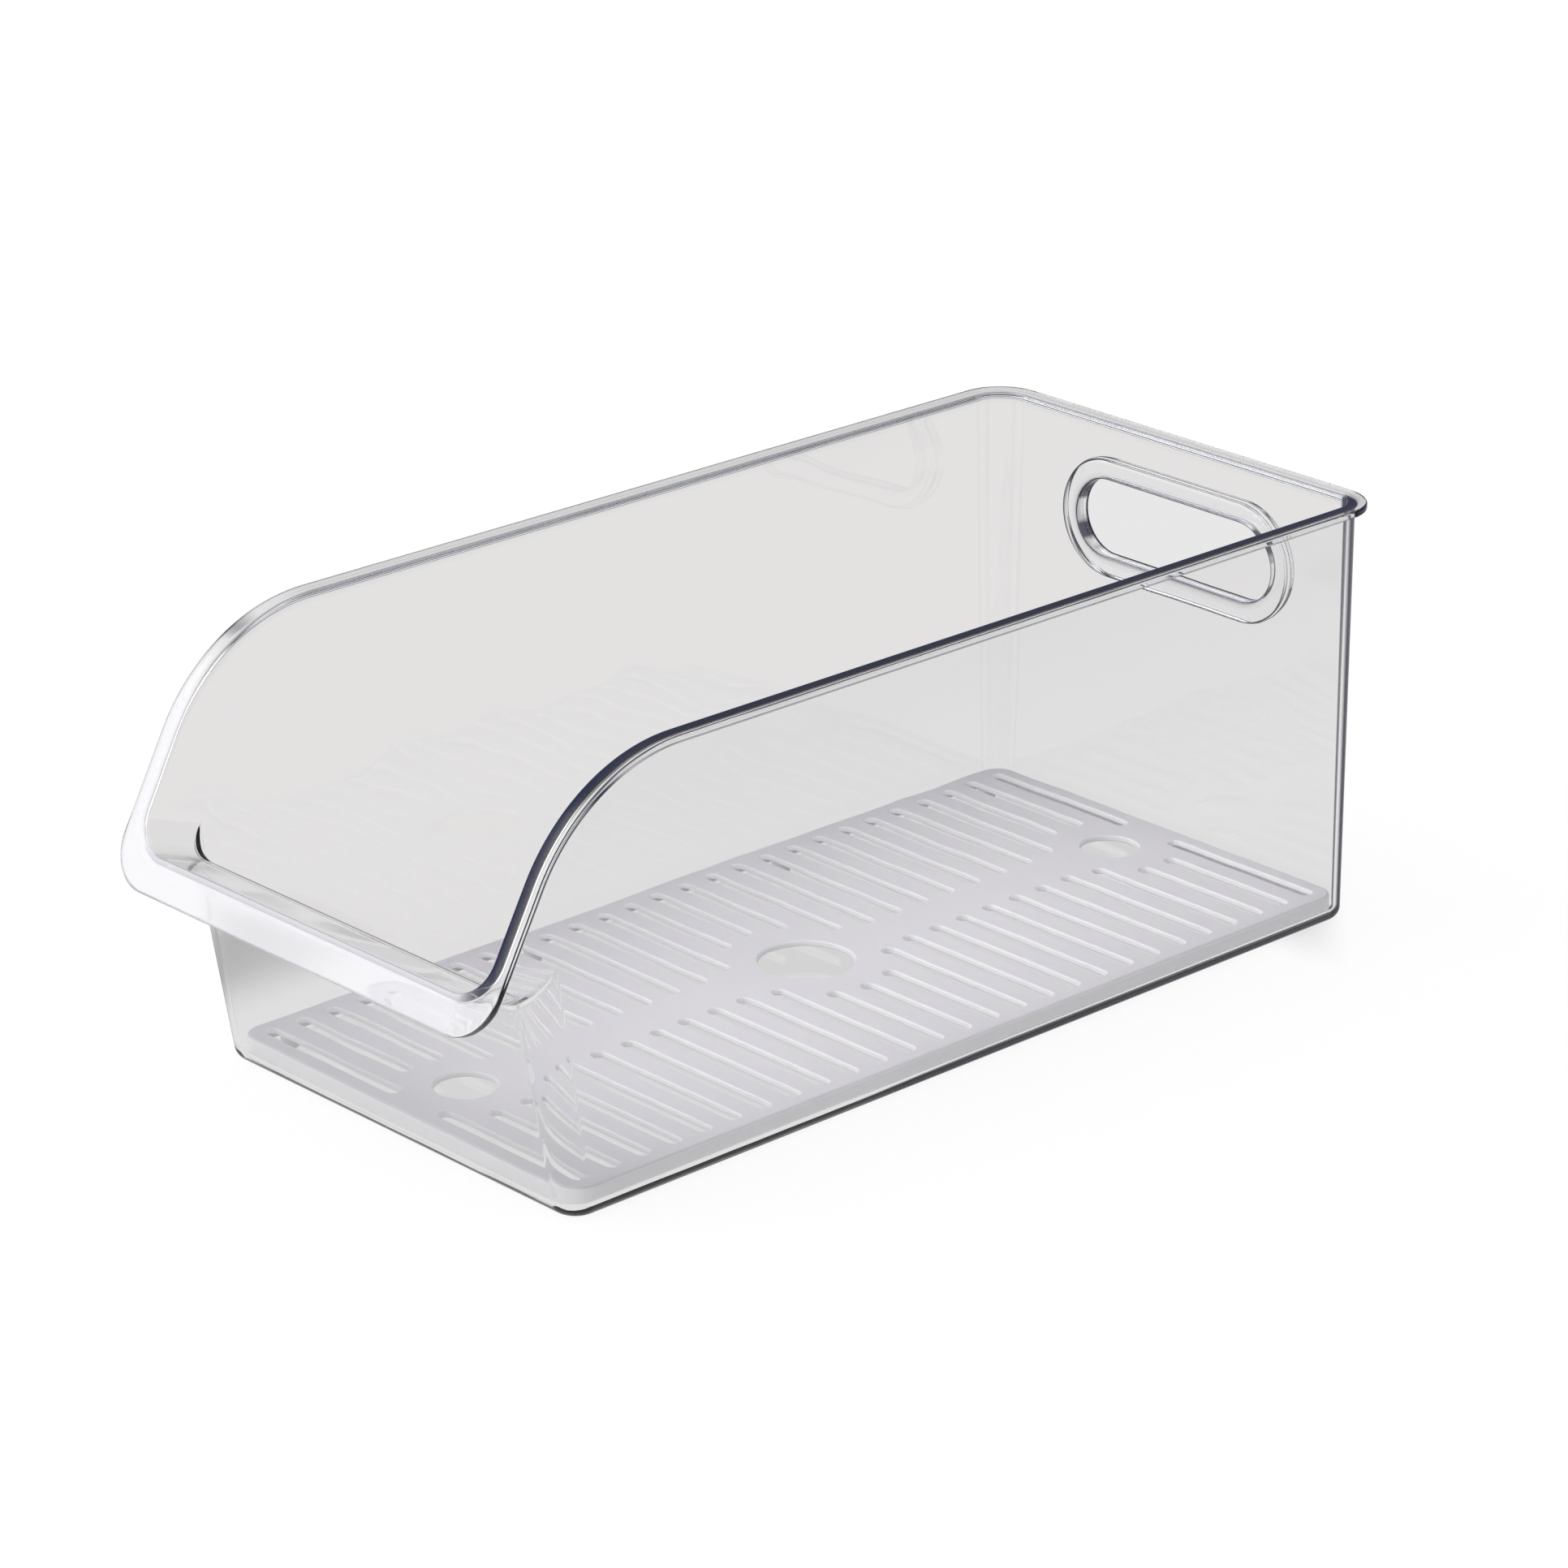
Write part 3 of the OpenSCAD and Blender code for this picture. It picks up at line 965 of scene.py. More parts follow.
def edge_profile(corners: Sequence[tuple[float, float, float]],
                 side: int, steps: int = EDGE_TURNS) -> list[tuple[float, float, float, float]]:
    """Rows of an edge's cross-section, with its corners rounded.

    Args:
        corners: Offset, height and corner radius of each corner.
        side: 1 where the air lies to the left of the way along the profile, else -1.
        steps: Rows across a rounded corner.

    Returns:
        Offset, height, and the normal's share along the offset and the height.
    """
    places = [np.array(corner[:2]) for corner in corners]
    rows = []
    for i, (place, (_, _, radius)) in enumerate(zip(places, corners)):
        back = places[i - 1] - place if i > 0 else place - places[1]
        ahead = places[i + 1] - place if i + 1 < len(places) else place - places[i - 1]
        back, ahead = back / np.linalg.norm(back), ahead / np.linalg.norm(ahead)
        if radius <= 0:
            rows.append((*place, -side * ahead[1], side * ahead[0]))
            continue
        centre = place + (back + ahead) * radius
        for j in range(steps + 1):
            turn = math.pi / 2 * j / steps
            point = centre - (ahead * math.cos(turn) + back * math.sin(turn)) * radius
            way = -back * math.cos(turn) + ahead * math.sin(turn)
            rows.append((*point, -side * way[1], side * way[0]))
    return rows


@dataclass(frozen=True)
class TraySizes:
    """Sizes of the drain tray, fitted to the bin."""

    bin: BinSizes = field(default_factory=BinSizes)
    gap: float = 1.0
    seat_gap: float = 0.2
    foot_h: float = 3.5
    foot_d: float = 5.0
    plate_t: float = 1.8
    edge_lift: float = 0.6
    edge_t: float = 1.4
    mid_hole_d: float = 26.0
    end_hole_d: float = 16.5
    slot_count: int = 27
    slot_w: float = 4.0
    slot_margin: float = 4.7
    side_margin: float = 4.2
    spine_w: float = 13.0
    hole_ring: float = 9.0
    rim_r: float = 1.0
    lip_r: float = 0.4
    hole_r: float = 0.5
    foot_root_r: float = 0.1
    foot_margin: float = 3.0
    corner_extra: float = 2.0
    end_hole_slots: float = 1.5

    @property
    def low_z(self) -> float:
        """Underside of the feet."""
        return self.bin.floor_t + self.seat_gap

    @property
    def top_z(self) -> float:
        """Top of the plate."""
        return self.low_z + self.foot_h + self.plate_t

    @property
    def half_w(self) -> float:
        """Half width of the tray."""
        return self.bin.side_at(self.low_z) - self.bin.wall_t - self.gap

    @property
    def ends(self) -> tuple[float, float]:
        """Front and rear end of the tray."""
        inset = self.bin.wall_t + self.gap
        return self.bin.foot + inset, self.bin.rear_at(self.low_z) - inset

    @property
    def middle_y(self) -> float:
        """Middle of the tray's length."""
        return sum(self.ends) / 2

    @property
    def length(self) -> float:
        """Length of the tray."""
        return self.ends[1] - self.ends[0]

    @property
    def corner_r(self) -> float:
        """Corner radius of the tray."""
        return self.bin.foot_r - self.bin.wall_t - self.gap + self.corner_extra

    @property
    def pitch(self) -> float:
        """Distance from one slot to the next."""
        return (self.length - 2 * self.slot_margin - self.slot_w) / (self.slot_count - 1)

    @property
    def end_hole_dy(self) -> float:
        """Distance from the middle to an end hole, a few slots short of the last one."""
        return self.pitch * ((self.slot_count - 1) / 2 - self.end_hole_slots)

    def slot_start(self, dy: float) -> float:
        """Inner end of the slots in a row, kept clear of the lifting holes."""
        starts = [self.spine_w / 2]
        for off, diameter in ((dy, self.mid_hole_d), (abs(dy) - self.end_hole_dy, self.end_hole_d)):
            ring = diameter / 2 + self.hole_ring
            if abs(off) < ring:
                starts.append(math.sqrt(ring ** 2 - off ** 2))
        return max(starts)


@dataclass
class TrayMesh:
    """The drain tray's closed mesh: two flats joined by rounded edges."""

    size: TraySizes = field(default_factory=TraySizes)
    parts: MeshParts = field(default_factory=MeshParts)

    def edge(self, outline: Outline, rows: Sequence[tuple[float, float, float, float]]
             ) -> tuple[Array, Array]:
        """Lofts an edge along an outline.

        Args:
            outline: Curve that the edge follows.
            rows: Cross-section, as edge_profile gives it.

        Returns:
            Point numbers of the first and the last row.
        """
        rings = []
        for offset, height, out, up in rows:
            points = points_of(*outline.at(offset).T, height)
            normals = points_of(*(outline.ways * out).T, up)
            rings.append(self.parts.add_points(points, normals))
        for first, second in zip(rings, rings[1:]):
            self.parts.bridge(first, second)
        return rings[0], rings[-1]

    def fill(self, border: Array, holes: Sequence[Array]) -> None:
        """Fills a flat between its border and its holes with triangles.

        Args:
            border: Point numbers round the outside.
            holes: Point numbers round each hole.
        """
        points = np.concatenate(self.parts.points)
        loops = [border, *holes]
        numbers = np.concatenate(loops)
        edges = []
        start = 0
        for loop in loops:
            edges += [(start + i, start + (i + 1) % len(loop)) for i in range(len(loop))]
            start += len(loop)
        flat = [Vector(xy) for xy in points[numbers][:, :2]]
        _, _, faces, origins, _, _ = delaunay_2d_cdt(flat, edges, [], ALL_TRIANGLES, MERGE_WITHIN)
        source = [int(numbers[origin[0]]) for origin in origins]
        hole_of = {int(n): k for k, loop in enumerate(holes) for n in loop}
        border_set = {int(n) for n in border}
        for face in faces:
            corners = tuple(source[i] for i in face)
            owners = {hole_of.get(n) for n in corners}
            in_hole = len(owners) == 1 and None not in owners
            in_notch = border_set.issuperset(corners) and self.is_outside(
                points[list(corners)][:, :2], points[border][:, :2])
            if not (in_hole or in_notch):
                self.parts.faces.append(corners)

    @staticmethod
    def is_outside(corners: Array, border: Array) -> bool:
        """Whether a triangle lies in a notch outside its border."""
        middle = corners.mean(0)
        ahead = np.roll(border, -1, axis=0)
        crossing = (border[:, 1] > middle[1]) != (ahead[:, 1] > middle[1])
        run = np.where(crossing, ahead[:, 1] - border[:, 1], 1)
        at_x = border[:, 0] + (middle[1] - border[:, 1]) * (ahead[:, 0] - border[:, 0]) / run
        return int((crossing & (at_x > middle[0])).sum()) % 2 == 0

    def slots(self) -> list[Outline]:
        """Outlines of all the slots, both columns."""
        s = self.size
        out_x = s.half_w - s.side_margin
        outlines = []
        for i in range(s.slot_count):
            dy = (i - (s.slot_count - 1) / 2) * s.pitch
            start = s.slot_start(dy)
            for side in (-1, 1):
                middle = (side * (start + out_x) / 2, s.middle_y + dy)
                outlines.append(Outline.stadium(middle, out_x - start, s.slot_w))
        return outlines

    def feet(self) -> list[Outline]:
        """Outlines of the eight feet, under the lands between the slots."""
        s = self.size
        foot_x = s.half_w - s.edge_t - s.foot_d / 2 - s.foot_margin
        last_land = s.slot_count / 2 - 1
        inner_land = math.floor(last_land / 3) + 0.5
        return [Outline.circle((side * foot_x, s.middle_y + land * s.pitch), s.foot_d, steps=32)
                for side in (-1, 1) for land in (-last_land, -inner_land, inner_land, last_land)]

    def build(self, name: str) -> bpy.types.Object:
        """Builds the tray's closed mesh.

        Args:
            name: Name of the piece.

        Returns:
            The Blender object, in metres.
        """
        s = self.size
        under_z = s.low_z + s.foot_h
        skirt_z = s.low_z + s.edge_lift
        outside = Outline.round_rect(s.half_w, s.length / 2, s.middle_y, s.corner_r)
        top, under = self.edge(outside, edge_profile([
            (-s.rim_r - s.lip_r, s.top_z, 0), (0, s.top_z, s.rim_r), (0, skirt_z, s.lip_r),
            (-s.edge_t, skirt_z, s.lip_r), (-s.edge_t, under_z, s.lip_r),
            (-s.edge_t - 2 * s.lip_r, under_z, 0)], side=1))
        tops, unders = [], []
        holes = [(outline, s.lip_r) for outline in self.slots()]
        for dy, diameter in ((0, s.mid_hole_d), (s.end_hole_dy, s.end_hole_d),
                             (-s.end_hole_dy, s.end_hole_d)):
            holes.append((Outline.circle((0, s.middle_y + dy), diameter), s.hole_r))
        for outline, radius in holes:
            rows = edge_profile([(2 * radius, s.top_z, 0), (0, s.top_z, radius),
                                 (0, under_z, radius), (2 * radius, under_z, 0)], side=-1)
            first, last = self.edge(outline, rows[1:-1])
            tops.append(first)
            unders.append(last)
        for outline in self.feet():
            rows = edge_profile([(2 * s.foot_root_r, under_z, 0), (0, under_z, s.foot_root_r),
                                 (0, s.low_z, s.hole_r), (-2 * s.hole_r, s.low_z, 0)], side=1)
            first, last = self.edge(outline, rows[1:])
            unders.append(first)
            self.parts.add_face(last)
        self.fill(top, tops)
        self.fill(under, unders)
        LOG.info("%s: %d points, %d faces", name, self.parts.count, len(self.parts.faces))
        return self.parts.to_object(name)


class Ray(Enum):
    """Kinds of ray that the studio tells apart."""

    CAMERA = "Is Camera Ray"
    GLOSSY = "Is Glossy Ray"
    THROUGH = "Is Transmission Ray"


class Place(Enum):
    """Coordinates that a texture can follow."""

    OBJECT = "Object"
    NORMAL = "Normal"
    GENERATED = "Generated"


class Value:
    """A number in a material's maths: an operator on it adds a Math node."""

    def __init__(self, shader: Shader, socket: bpy.types.NodeSocket) -> None:
        """Wraps an output socket of a shader's node."""
        self.shader = shader
        self.socket = socket

    def math(self, operation: str, *terms: Any) -> Value:
        """Adds a Math node.

        Args:
            operation: The node's operation.
            terms: Values, sockets or numbers that it works on.

        Returns:
            The node's result.
        """
        inputs = {i: term for i, term in enumerate(terms)}
        return self.shader.value("ShaderNodeMath", {"operation": operation}, inputs)

    def __add__(self, other: Any) -> Value:
        """Sum."""
        return self.math("ADD", self, other)

    def __radd__(self, other: Any) -> Value:
        """Sum, reflected."""
        return self.math("ADD", other, self)

    def __sub__(self, other: Any) -> Value:
        """Difference."""
        return self.math("SUBTRACT", self, other)

    def __rsub__(self, other: Any) -> Value:
        """Difference, reflected."""
        return self.math("SUBTRACT", other, self)

    def __mul__(self, other: Any) -> Value:
        """Product."""
        return self.math("MULTIPLY", self, other)

    def __rmul__(self, other: Any) -> Value:
        """Product, reflected."""
        return self.math("MULTIPLY", other, self)

    def __abs__(self) -> Value:
        """Size without its sign."""
        return self.math("ABSOLUTE", self)

    def least(self, other: Any) -> Value:
        """The smaller of two."""
        return self.math("MINIMUM", self, other)

    def most(self, other: Any) -> Value:
        """The larger of two."""
        return self.math("MAXIMUM", self, other)

    def held(self, low: float, high: float) -> Value:
        """The value held between two limits."""
        return self.least(high).most(low)

    def smooth(self, start: float, end: float) -> Value:
        """Smooth step from 0 at the start to 1 at the end."""
        return self.shader.value("ShaderNodeMapRange", {"interpolation_type": "SMOOTHSTEP"},
                                 {"Value": self, "From Min": start, "From Max": end})


class Shader:
    """The node tree of a material or of the world."""

    def __init__(self, owner: Any) -> None:
        """Empties the tree of a material or a world."""
        self.owner = owner
        owner.use_nodes = True
        self.tree = owner.node_tree
        self.tree.nodes.clear()

    @classmethod
    def of_material(cls, name: str) -> Shader:
        """Makes an empty material."""
        return cls(bpy.data.materials.new(name))

    @classmethod
    def of_world(cls, name: str) -> Shader:
        """Makes an empty world and lights the scene with it."""
        bpy.context.scene.world = bpy.data.worlds.new(name)
        return cls(bpy.context.scene.world)

    def node(self, kind: str, settings: dict[str, Any] | None = None,
             inputs: dict[Any, Any] | None = None) -> bpy.types.Node:
        """Adds a node.

        Args:
            kind: The node's type.
            settings: Its properties, set first.
            inputs: Values or links of its sockets, by name or number.

        Returns:
            The new node.
        """
        node = self.tree.nodes.new(kind)
        for key, setting in (settings or {}).items():
            setattr(node, key, setting)
        for key, term in (inputs or {}).items():
            socket = node.inputs[key]
            if isinstance(term, Value):
                self.tree.links.new(term.socket, socket)
            elif isinstance(term, bpy.types.NodeSocket):
                self.tree.links.new(term, socket)
            else:
                socket.default_value = term
        return node

    def value(self, kind: str, settings: dict[str, Any] | None = None,
              inputs: dict[Any, Any] | None = None, output: Any = 0) -> Value:
        """Adds a node and returns one of its outputs as a value."""
        return Value(self, self.node(kind, settings, inputs).outputs[output])

    def place(self, kind: Place) -> bpy.types.NodeSocket:
        """Coordinates of the point that is shaded."""
        return self.node("ShaderNodeTexCoord").outputs[kind.value]

    def ray(self, kind: Ray) -> Value:
        """1 for rays of a kind, 0 for others."""
        return self.value("ShaderNodeLightPath", output=kind.value)

    def mark(self, name: str) -> Value:
        """A share stored on the mesh's points."""
        return self.value("ShaderNodeAttribute", {"attribute_name": name}, output="Fac")

    def parts(self, vector: bpy.types.NodeSocket) -> list[Value]:
        """The X, Y and Z of a vector."""
        split = self.node("ShaderNodeSeparateXYZ", None, {"Vector": vector})
        return [Value(self, split.outputs[axis]) for axis in "XYZ"]

    def toward(self, way: bpy.types.NodeSocket, aim: Sequence[float]) -> Value:
        """How closely a direction follows an aim, 1 where it is the same."""
        return self.value("ShaderNodeVectorMath", {"operation": "DOT_PRODUCT"},
                          {0: way, 1: Vector(aim).normalized()}, "Value")

    def noise(self, scale: float, detail: float = 2.0, roughness: float = 0.5) -> Value:
        """Smooth noise over the object's own coordinates, from 0 to 1."""
        return self.value("ShaderNodeTexNoise", {"noise_dimensions": "3D"},
                          {"Vector": self.place(Place.OBJECT), "Scale": scale,
                           "Detail": detail, "Roughness": roughness}, "Fac")

    def mixed(self, share: Any, first: Any, second: Any) -> bpy.types.NodeSocket:
        """Colour between two, the first at share 0 and the second at share 1."""
        return self.node("ShaderNodeMix", {"data_type": "RGBA"},
                         {0: share, MIX_FIRST: first, MIX_SECOND: second}).outputs[MIX_RESULT]

    def blend(self, share: Any, first: bpy.types.Node, second: bpy.types.Node) -> bpy.types.Node:
        """Shader between two, the first at share 0 and the second at share 1."""
        return self.node("ShaderNodeMixShader", None,
                         {0: share, 1: first.outputs[0], 2: second.outputs[0]})

    def scaled(self, colour: Any, factor: Value) -> bpy.types.NodeSocket:
        """A colour times a value."""
        return self.node("ShaderNodeVectorMath", {"operation": "SCALE"},
                         {"Vector": colour, "Scale": factor}).outputs["Vector"]

    def bump(self, height: Value, depth: float) -> bpy.types.NodeSocket:
        """Normal of a surface with a fine relief of a depth in metres."""
        return self.node("ShaderNodeBump", None,
                         {"Strength": 1.0, "Distance": depth, "Height": height}).outputs["Normal"]

    def finish(self, surface: bpy.types.Node, volume: bpy.types.Node | None = None) -> None:
        """Joins the shader, and a volume if there is one, to the tree's output."""
        of_world = isinstance(self.owner, bpy.types.World)
        output = self.node("ShaderNodeOutputWorld" if of_world else "ShaderNodeOutputMaterial")
        self.tree.links.new(surface.outputs[0], output.inputs["Surface"])
        if volume is not None:
            self.tree.links.new(volume.outputs[0], output.inputs["Volume"])


@dataclass(frozen=True)
class ClearPlastic:
    """Clear moulded plastic with a faint blue body, painted dark at its edges and with a painted
    highlight on the lip.

    Spans run from no share to the full share. Facing is 0 where a face is seen square and 1
    on its silhouette, a turn is 0 on a flat face, and places are in metres.
    """

    ior: float = 1.5
    body_colour: Colour = (0.25, 0.36, 0.72, 1.0)
    body_density: float = 6.0
    polish: float = 0.012
    haze: float = 0.05
    haze_scale: float = 55.0
    haze_cut: float = 1 / 3
    flow_scale: float = 24.0
    flow_depth: float = 0.0006
    painted_edge_tint: Colour = (0.1, 0.12, 0.24, 1.0)
    painted_dark_colour: Colour = (0.01, 0.014, 0.04, 1.0)
    painted_dark_gloss: float = 0.1
    painted_dark_share: float = 0.88
    painted_outline_share: float = 0.93
    painted_highlight_colour: Colour = (0.57, 0.57, 0.6, 1.0)
    painted_highlight_gloss: float = 0.5
    line_roughness: float = 0.1
    foot_fade: float = 0.55
    foot_height: Span = (0.012, 0.004)
    foot_along: Span = (0.02, -0.05)
    behind_lip: Span = (-0.135, -0.115)
    tint_facing: Span = (0.66, 0.92)
    outline_facing: Span = (0.8, 0.96)
    curve_facing: Span = (0.32, 0.5)
    corner_turn: Span = (0.05, 0.3)
    edge_turn: Span = (0.3, 0.5)

    def material(self, name: str) -> bpy.types.Material:
        """Builds the material.

        Args:
            name: Name of the material.

        Returns:
            The material.
        """
        shader = Shader.of_material(name)
        cloud = shader.noise(self.haze_scale, detail=3.0)
        flow = shader.noise(self.flow_scale, detail=1.0)
        edge = self.edge(shader)
        # The base colour turns navy towards the silhouettes: a painted dark tint.
        surface = shader.node("ShaderNodeBsdfPrincipled", None, {
            "Base Color": shader.mixed(edge.smooth(*self.tint_facing), WHITE, self.painted_edge_tint),
            "IOR": self.ior, "Transmission Weight": 1.0,
            "Roughness": ((cloud - self.haze_cut) * self.haze).held(self.polish, self.haze),
            "Normal": shader.bump(flow, self.flow_depth)})
        volume = shader.node("ShaderNodeVolumeAbsorption", None,
                             {"Color": self.body_colour, "Density": self.body_density})
        # Painted dark outlines on silhouettes and rounded corners, painted dark lines stored on the
        # mesh, and a painted highlight on the lip, each an opaque coat mixed over the clear
        # plastic.
        outline = edge.smooth(*self.curve_facing) * self.curved(shader)
        outline = outline.most(edge.smooth(*self.outline_facing)) * self.painted_outline_share
        dark = outline.most(shader.mark(PAINTED_DARK_LINES) * self.painted_dark_share)
        for share, colour, gloss in ((shader.mark(PAINTED_LIP_HIGHLIGHT), self.painted_highlight_colour, self.painted_highlight_gloss),
                                     (dark, self.painted_dark_colour, self.painted_dark_gloss)):
            line = shader.node("ShaderNodeBsdfPrincipled", None, {
                "Base Color": colour, "Roughness": self.line_roughness, "IOR": self.ior,
                "Specular IOR Level": gloss})
            surface = shader.blend(share, surface, line)
        shader.finish(surface, volume)
        return shader.owner

    def edge(self, shader: Shader) -> Value:
        """Facing that masks the painted dark tint and outlines, none on the lip and less at the
        foot of the front wall.
        """
        _, along, height = shader.parts(shader.place(Place.OBJECT))
        foot = height.smooth(*self.foot_height) * along.smooth(*self.foot_along)
        facing = shader.value("ShaderNodeLayerWeight", output="Facing")
        return facing * along.smooth(*self.behind_lip) * (1 - foot * self.foot_fade)

    def curved(self, shader: Shader) -> Value:
        """Share that is 1 on rounded corners and edges and 0 on flat faces, where the painted dark
        outlines reach further in.
        """
        ahead, aside, upright = [abs(part) for part in shader.parts(shader.place(Place.NORMAL))]
        corner = ahead.least(aside).smooth(*self.corner_turn)
        rounded = upright.least(ahead.most(aside)).smooth(*self.edge_turn)
        return corner.most(rounded)


@dataclass(frozen=True)
class FrostedPlastic:
    """Frosted pale grey plastic with a fine spark-eroded texture, its upright faces painted lighter
    as a painted highlight.
    """

    light: Colour = (0.69, 0.675, 0.705, 1.0)
    dark: Colour = (0.645, 0.63, 0.66, 1.0)
    # Painted highlight: the lighter colour of upright faces such as the slot walls.
    wall: Colour = (0.97, 0.96, 0.97, 1.0)
    painted_light_level: Span = (0.8, 0.3)
    ior: float = 1.5
    roughness: float = 0.42
    roughness_gain: float = 0.16
    grain_scale: float = 2600.0
    grain_depth: float = 0.00004
    cloud_scale: float = 18.0
    cloud_gain: float = 1.6
    cloud_cut: float = 0.3

    def material(self, name: str) -> bpy.types.Material:
        """Builds the material.

        Args:
            name: Name of the material.

        Returns:
            The material.
        """
        shader = Shader.of_material(name)
        cloud = shader.noise(self.cloud_scale, detail=3.0)
        grain = shader.noise(self.grain_scale)
        share = (cloud * self.cloud_gain - self.cloud_cut).held(0.0, 1.0)
        # Painted highlight: upright faces, such as the slot walls, turn to the lighter wall colour.
        _, _, level = shader.parts(shader.place(Place.NORMAL))
        tone = shader.mixed(abs(level).smooth(*self.painted_light_level),
                            shader.mixed(share, self.dark, self.light), self.wall)
        surface = shader.node("ShaderNodeBsdfPrincipled", None, {
            "Base Color": tone, "IOR": self.ior,
            "Roughness": grain * self.roughness_gain + self.roughness,
            "Normal": shader.bump(grain, self.grain_depth)})
        shader.finish(surface)
        return shader.owner


@dataclass(frozen=True)
class Patch:
    """A soft-edged four-sided patch on the floor, in metres, where painted shade or painted light
    lies.

    Attributes:
        x: Where it begins and ends across.
        y: Where it begins and ends along.
        soft: Width of its soft edge.
        skew: How far it runs to -X for each metre to the rear.
        from_y: Station where x holds.
    """

    x: tuple[float, float]
    y: tuple[float, float]
    soft: float
    skew: float = 0.0
    from_y: float = 0.0

    def mask(self, across: Value, along: Value) -> Value:
        """Mask that is 1 well inside the patch and 0 outside it."""
        squared = across + (along - self.from_y) * self.skew
        ends = ((squared, self.x), (along, self.y))
        rises = [place.smooth(start, start + self.soft) for place, (start, _) in ends]
        falls = [place.smooth(stop, stop - self.soft) for place, (_, stop) in ends]
        return math.prod(rises + falls)


@dataclass
class Studio:
    """Pale floor with a painted shadow, painted shade and painted light in patches, soft light from
    above and the front, and the photograph's camera.

    Lengths are in millimetres, but in metres for the patches and the camera's reach. Angles
    are in degrees, and spans run from no light to the full light.
    """

    aim: tuple[float, float, float] = (3.17, 3.91, 60.87)
    azimuth: float = 46.97
    elevation: float = 21.64
    distance: float = 1474.6
    lens: float = 130.1
    sensor: float = 36.0
    camera_reach: float = 20.0
    floor_half: float = 2400.0
    floor_drop: float = 0.4
    floor_tone: float = 0.9
    shadow_share: float = 0.1
    painted_shadow_tone: float = 0.76
    through_tone: float = 0.78
    through_hue: Colour = (1.0, 0.985, 0.975, 1.0)
    painted_front_gain: float = 2.2
    painted_lip_shade_tone: float = 0.56
    overhead: float = 0.78
    overhead_up: Span = (0.35, 0.85)
    fill: tuple[float, float, float] = (0.28, 0.28, 0.3)
    window: float = 2.4
    window_way: tuple[float, float, float] = (-0.45, -0.75, 0.48)
    window_near: Span = (0.68, 0.93)
    side: float = 0.48
    side_way: tuple[float, float, float] = (0.85, -0.25, 0.4)
    side_near: Span = (0.3, 0.9)
    # Colour of the painted dim floor on +X, which shows in reflections.
    dim: Colour = (0.09, 0.1, 0.16, 1.0)
    # Painted shadow: a soft grey band on the floor behind the bin.
    painted_shadow: Patch = Patch((-0.1, 0.066), (0.12, 0.405), 0.024, 0.95, 0.1585)
    # Painted shade: a darker patch of floor under the pull lip.
    painted_lip_shade: Patch = Patch((-0.158, -0.085), (-0.2, -0.04), 0.032)
    # Painted shade: the floor on +X, dim and blue in reflections.
    painted_dim_side: Patch = Patch((0.16, 3.0), (-3.0, 3.0), 0.15)
    # Painted light: a brighter patch of floor ahead of the bin, seen in reflections.
    before: Patch = Patch((-3.0, 0.3), (-3.0, -0.17), 0.12)

    def build(self) -> None:
        """Builds the floor, the light and the camera."""
        self.floor()
        self.surroundings()
        self.camera()

    def floor(self) -> None:
        """Adds the floor, just under the object."""
        half, drop = self.floor_half * MM, -self.floor_drop * MM
        corners = [(x * half, y * half, drop) for x, y in ((-1, -1), (1, -1), (1, 1), (-1, 1))]
        mesh = bpy.data.meshes.new("studio_floor")
        mesh.from_pydata(corners, [], [(0, 1, 2, 3)])
        mesh.materials.append(self.floor_material("studio_floor"))
        linked("studio_floor", mesh)

    def floor_material(self, name: str) -> bpy.types.Material:
        """Pale floor that keeps a trace of the real shadow, is pale through the plastic too, and
        carries a painted shadow, painted shade and a painted pool of light.
        """
        shader = Shader.of_material(name)
        seen, glossy, through = [shader.ray(kind) for kind in (Ray.CAMERA, Ray.GLOSSY, Ray.THROUGH)]
        across, along, _ = shader.parts(shader.place(Place.OBJECT))
        # Painted shadow, seen straight from the camera behind the bin.
        direct = 1 - self.painted_shadow.mask(across, along) * (1 - self.painted_shadow_tone)
        # Painted pool of light ahead of the bin, for reflected and bounced rays only.
        front = self.before.mask(across, along) * (1 - through) * self.painted_front_gain
        # Painted shade under the lip, seen through and reflected in the plastic.
        indirect = 1 - self.painted_lip_shade.mask(across, along) * (1 - self.painted_lip_shade_tone)
        indirect = indirect * (front + self.through_tone)
        tone = direct * seen + indirect * (1 - seen)
        # Painted shade: the floor on +X turns dim blue where it is reflected or lights the object.
        painted_dim_share = self.painted_dim_side.mask(across, along) * (1 - seen) * (1 - through)
        hue = shader.mixed(seen, self.through_hue, WHITE)
        colour = shader.scaled(shader.mixed(painted_dim_share, hue, self.dim), tone)
        glow = shader.node("ShaderNodeEmission", None, {"Color": colour})
        paint = shader.node("ShaderNodeBsdfDiffuse", None,
                            {"Color": (self.floor_tone, self.floor_tone, self.floor_tone, 1.0)})
        share = seen * (1 - self.shadow_share) + glossy * (1 - seen)
        shader.finish(shader.blend(share, paint, glow))
        return shader.owner

    def surroundings(self) -> None:
        """World light: soft from above and the front, dim and blue elsewhere."""
        shader = Shader.of_world("studio")
        way = shader.place(Place.GENERATED)
        _, _, up = shader.parts(way)
        window, side = shader.toward(way, self.window_way), shader.toward(way, self.side_way)
        light = (up.smooth(*self.overhead_up) * self.overhead
                 + window.smooth(*self.window_near) * self.window
                 + side.smooth(*self.side_near) * self.side)
        lit = shader.node("ShaderNodeVectorMath", {"operation": "ADD"},
                          {0: shader.scaled(WHITE[:3], light), 1: self.fill})
        colour = shader.mixed(shader.ray(Ray.CAMERA), lit.outputs[0], WHITE)
        shader.finish(shader.node("ShaderNodeBackground", None, {"Color": colour}))

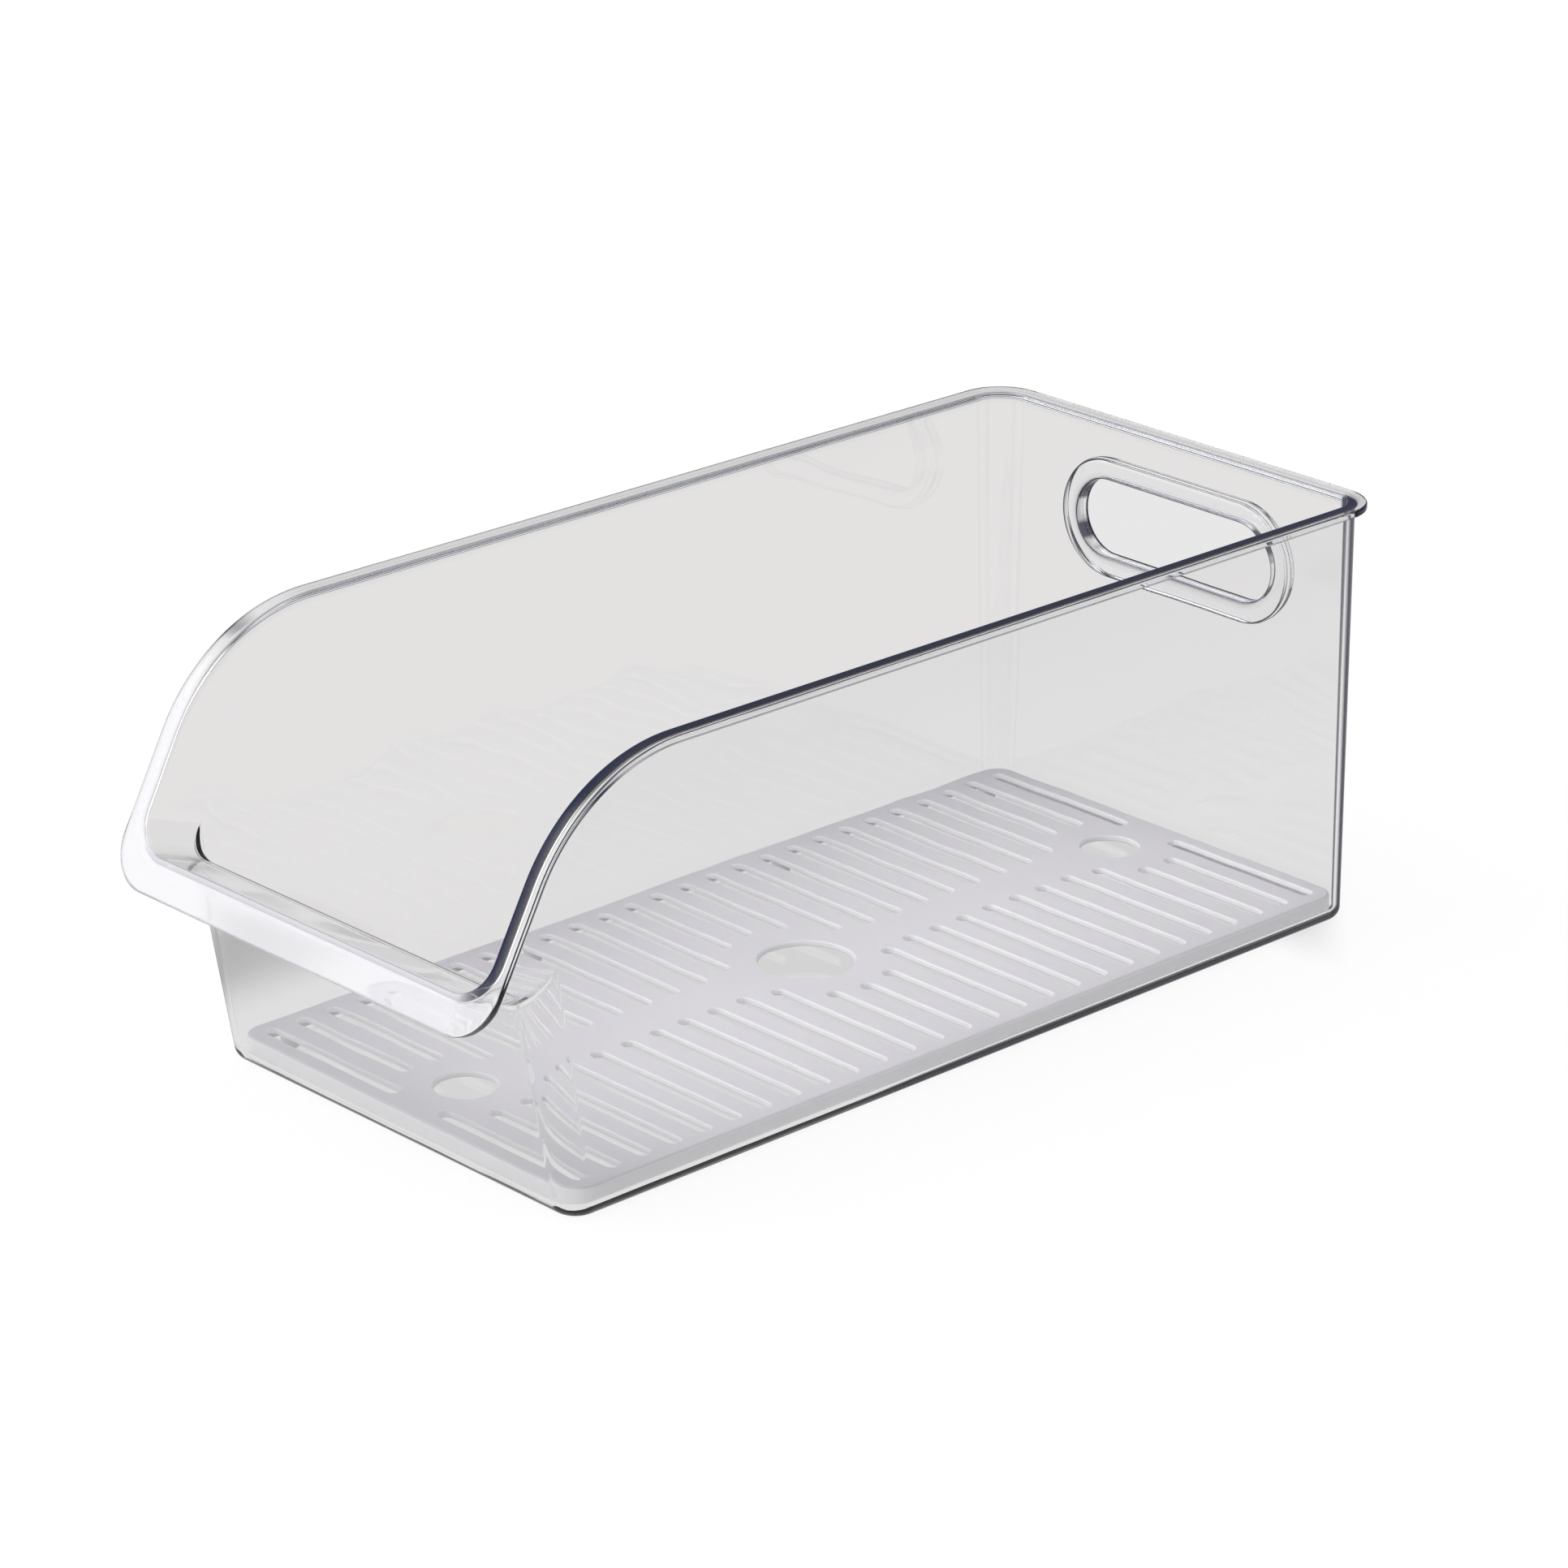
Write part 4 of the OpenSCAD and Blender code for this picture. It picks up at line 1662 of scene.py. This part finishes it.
    def camera(self) -> None:
        """Camera fitted to the photograph."""
        turn, tilt = math.radians(self.azimuth), math.radians(self.elevation)
        view = Vector((-math.sin(turn) * math.cos(tilt), math.cos(turn) * math.cos(tilt),
                       -math.sin(tilt)))
        data = bpy.data.cameras.new("camera")
        data.sensor_width = self.sensor
        data.lens = self.lens
        data.clip_end = self.camera_reach
        camera = linked("camera", data)
        camera.location = (Vector(self.aim) - view * self.distance) * MM
        camera.rotation_euler = view.to_track_quat("-Z", "Y").to_euler()
        bpy.context.scene.camera = camera


@dataclass
class Bin:
    """The clear bin: one moulding that rides on its own body."""

    mesh: BinMesh = field(default_factory=BinMesh)
    finish: ClearPlastic = field(default_factory=ClearPlastic)

    def build(self) -> bpy.types.Object:
        """Builds and dresses the bin, in place of its plain solid."""
        piece = self.mesh.build("bin_shell")
        self.store_painted_edges(piece.data)
        piece.data.materials.append(self.finish.material("clear_plastic"))
        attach(piece, "bin")
        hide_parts("bin")
        return piece

    def store_painted_edges(self, mesh: bpy.types.Mesh) -> None:
        """Stores where painted dark lines and a painted highlight lie on the plastic."""
        points = np.empty(len(mesh.vertices) * 3)
        mesh.vertices.foreach_get("co", points)
        points = points.reshape(-1, 3) / MM
        dark, pale = self.mesh.shape.painted_edge_shares(points)
        for name, share in ((PAINTED_DARK_LINES, dark), (PAINTED_LIP_HIGHLIGHT, pale)):
            mark = mesh.attributes.new(name, "FLOAT", "POINT")
            mark.data.foreach_set("value", share.astype(np.float32))


@dataclass
class DrainTray:
    """The frosted drain tray: one moulding that lifts out of the bin."""

    mesh: TrayMesh = field(default_factory=TrayMesh)
    finish: FrostedPlastic = field(default_factory=FrostedPlastic)

    def build(self) -> bpy.types.Object:
        """Builds and dresses the tray, in place of its plain solid."""
        piece = self.mesh.build("tray_moulding")
        piece.data.materials.append(self.finish.material("frosted_plastic"))
        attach(piece, "drain_tray")
        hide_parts("drain_tray")
        return piece


def main() -> None:
    """Builds the object and its studio."""
    logging.basicConfig(level=logging.INFO, format="%(name)s: %(message)s")
    bpy.context.scene.view_settings.view_transform = "Standard"
    for part in (Bin(), DrainTray()):
        piece = part.build()
    Studio().build()


if __name__ == "__main__":
    main()
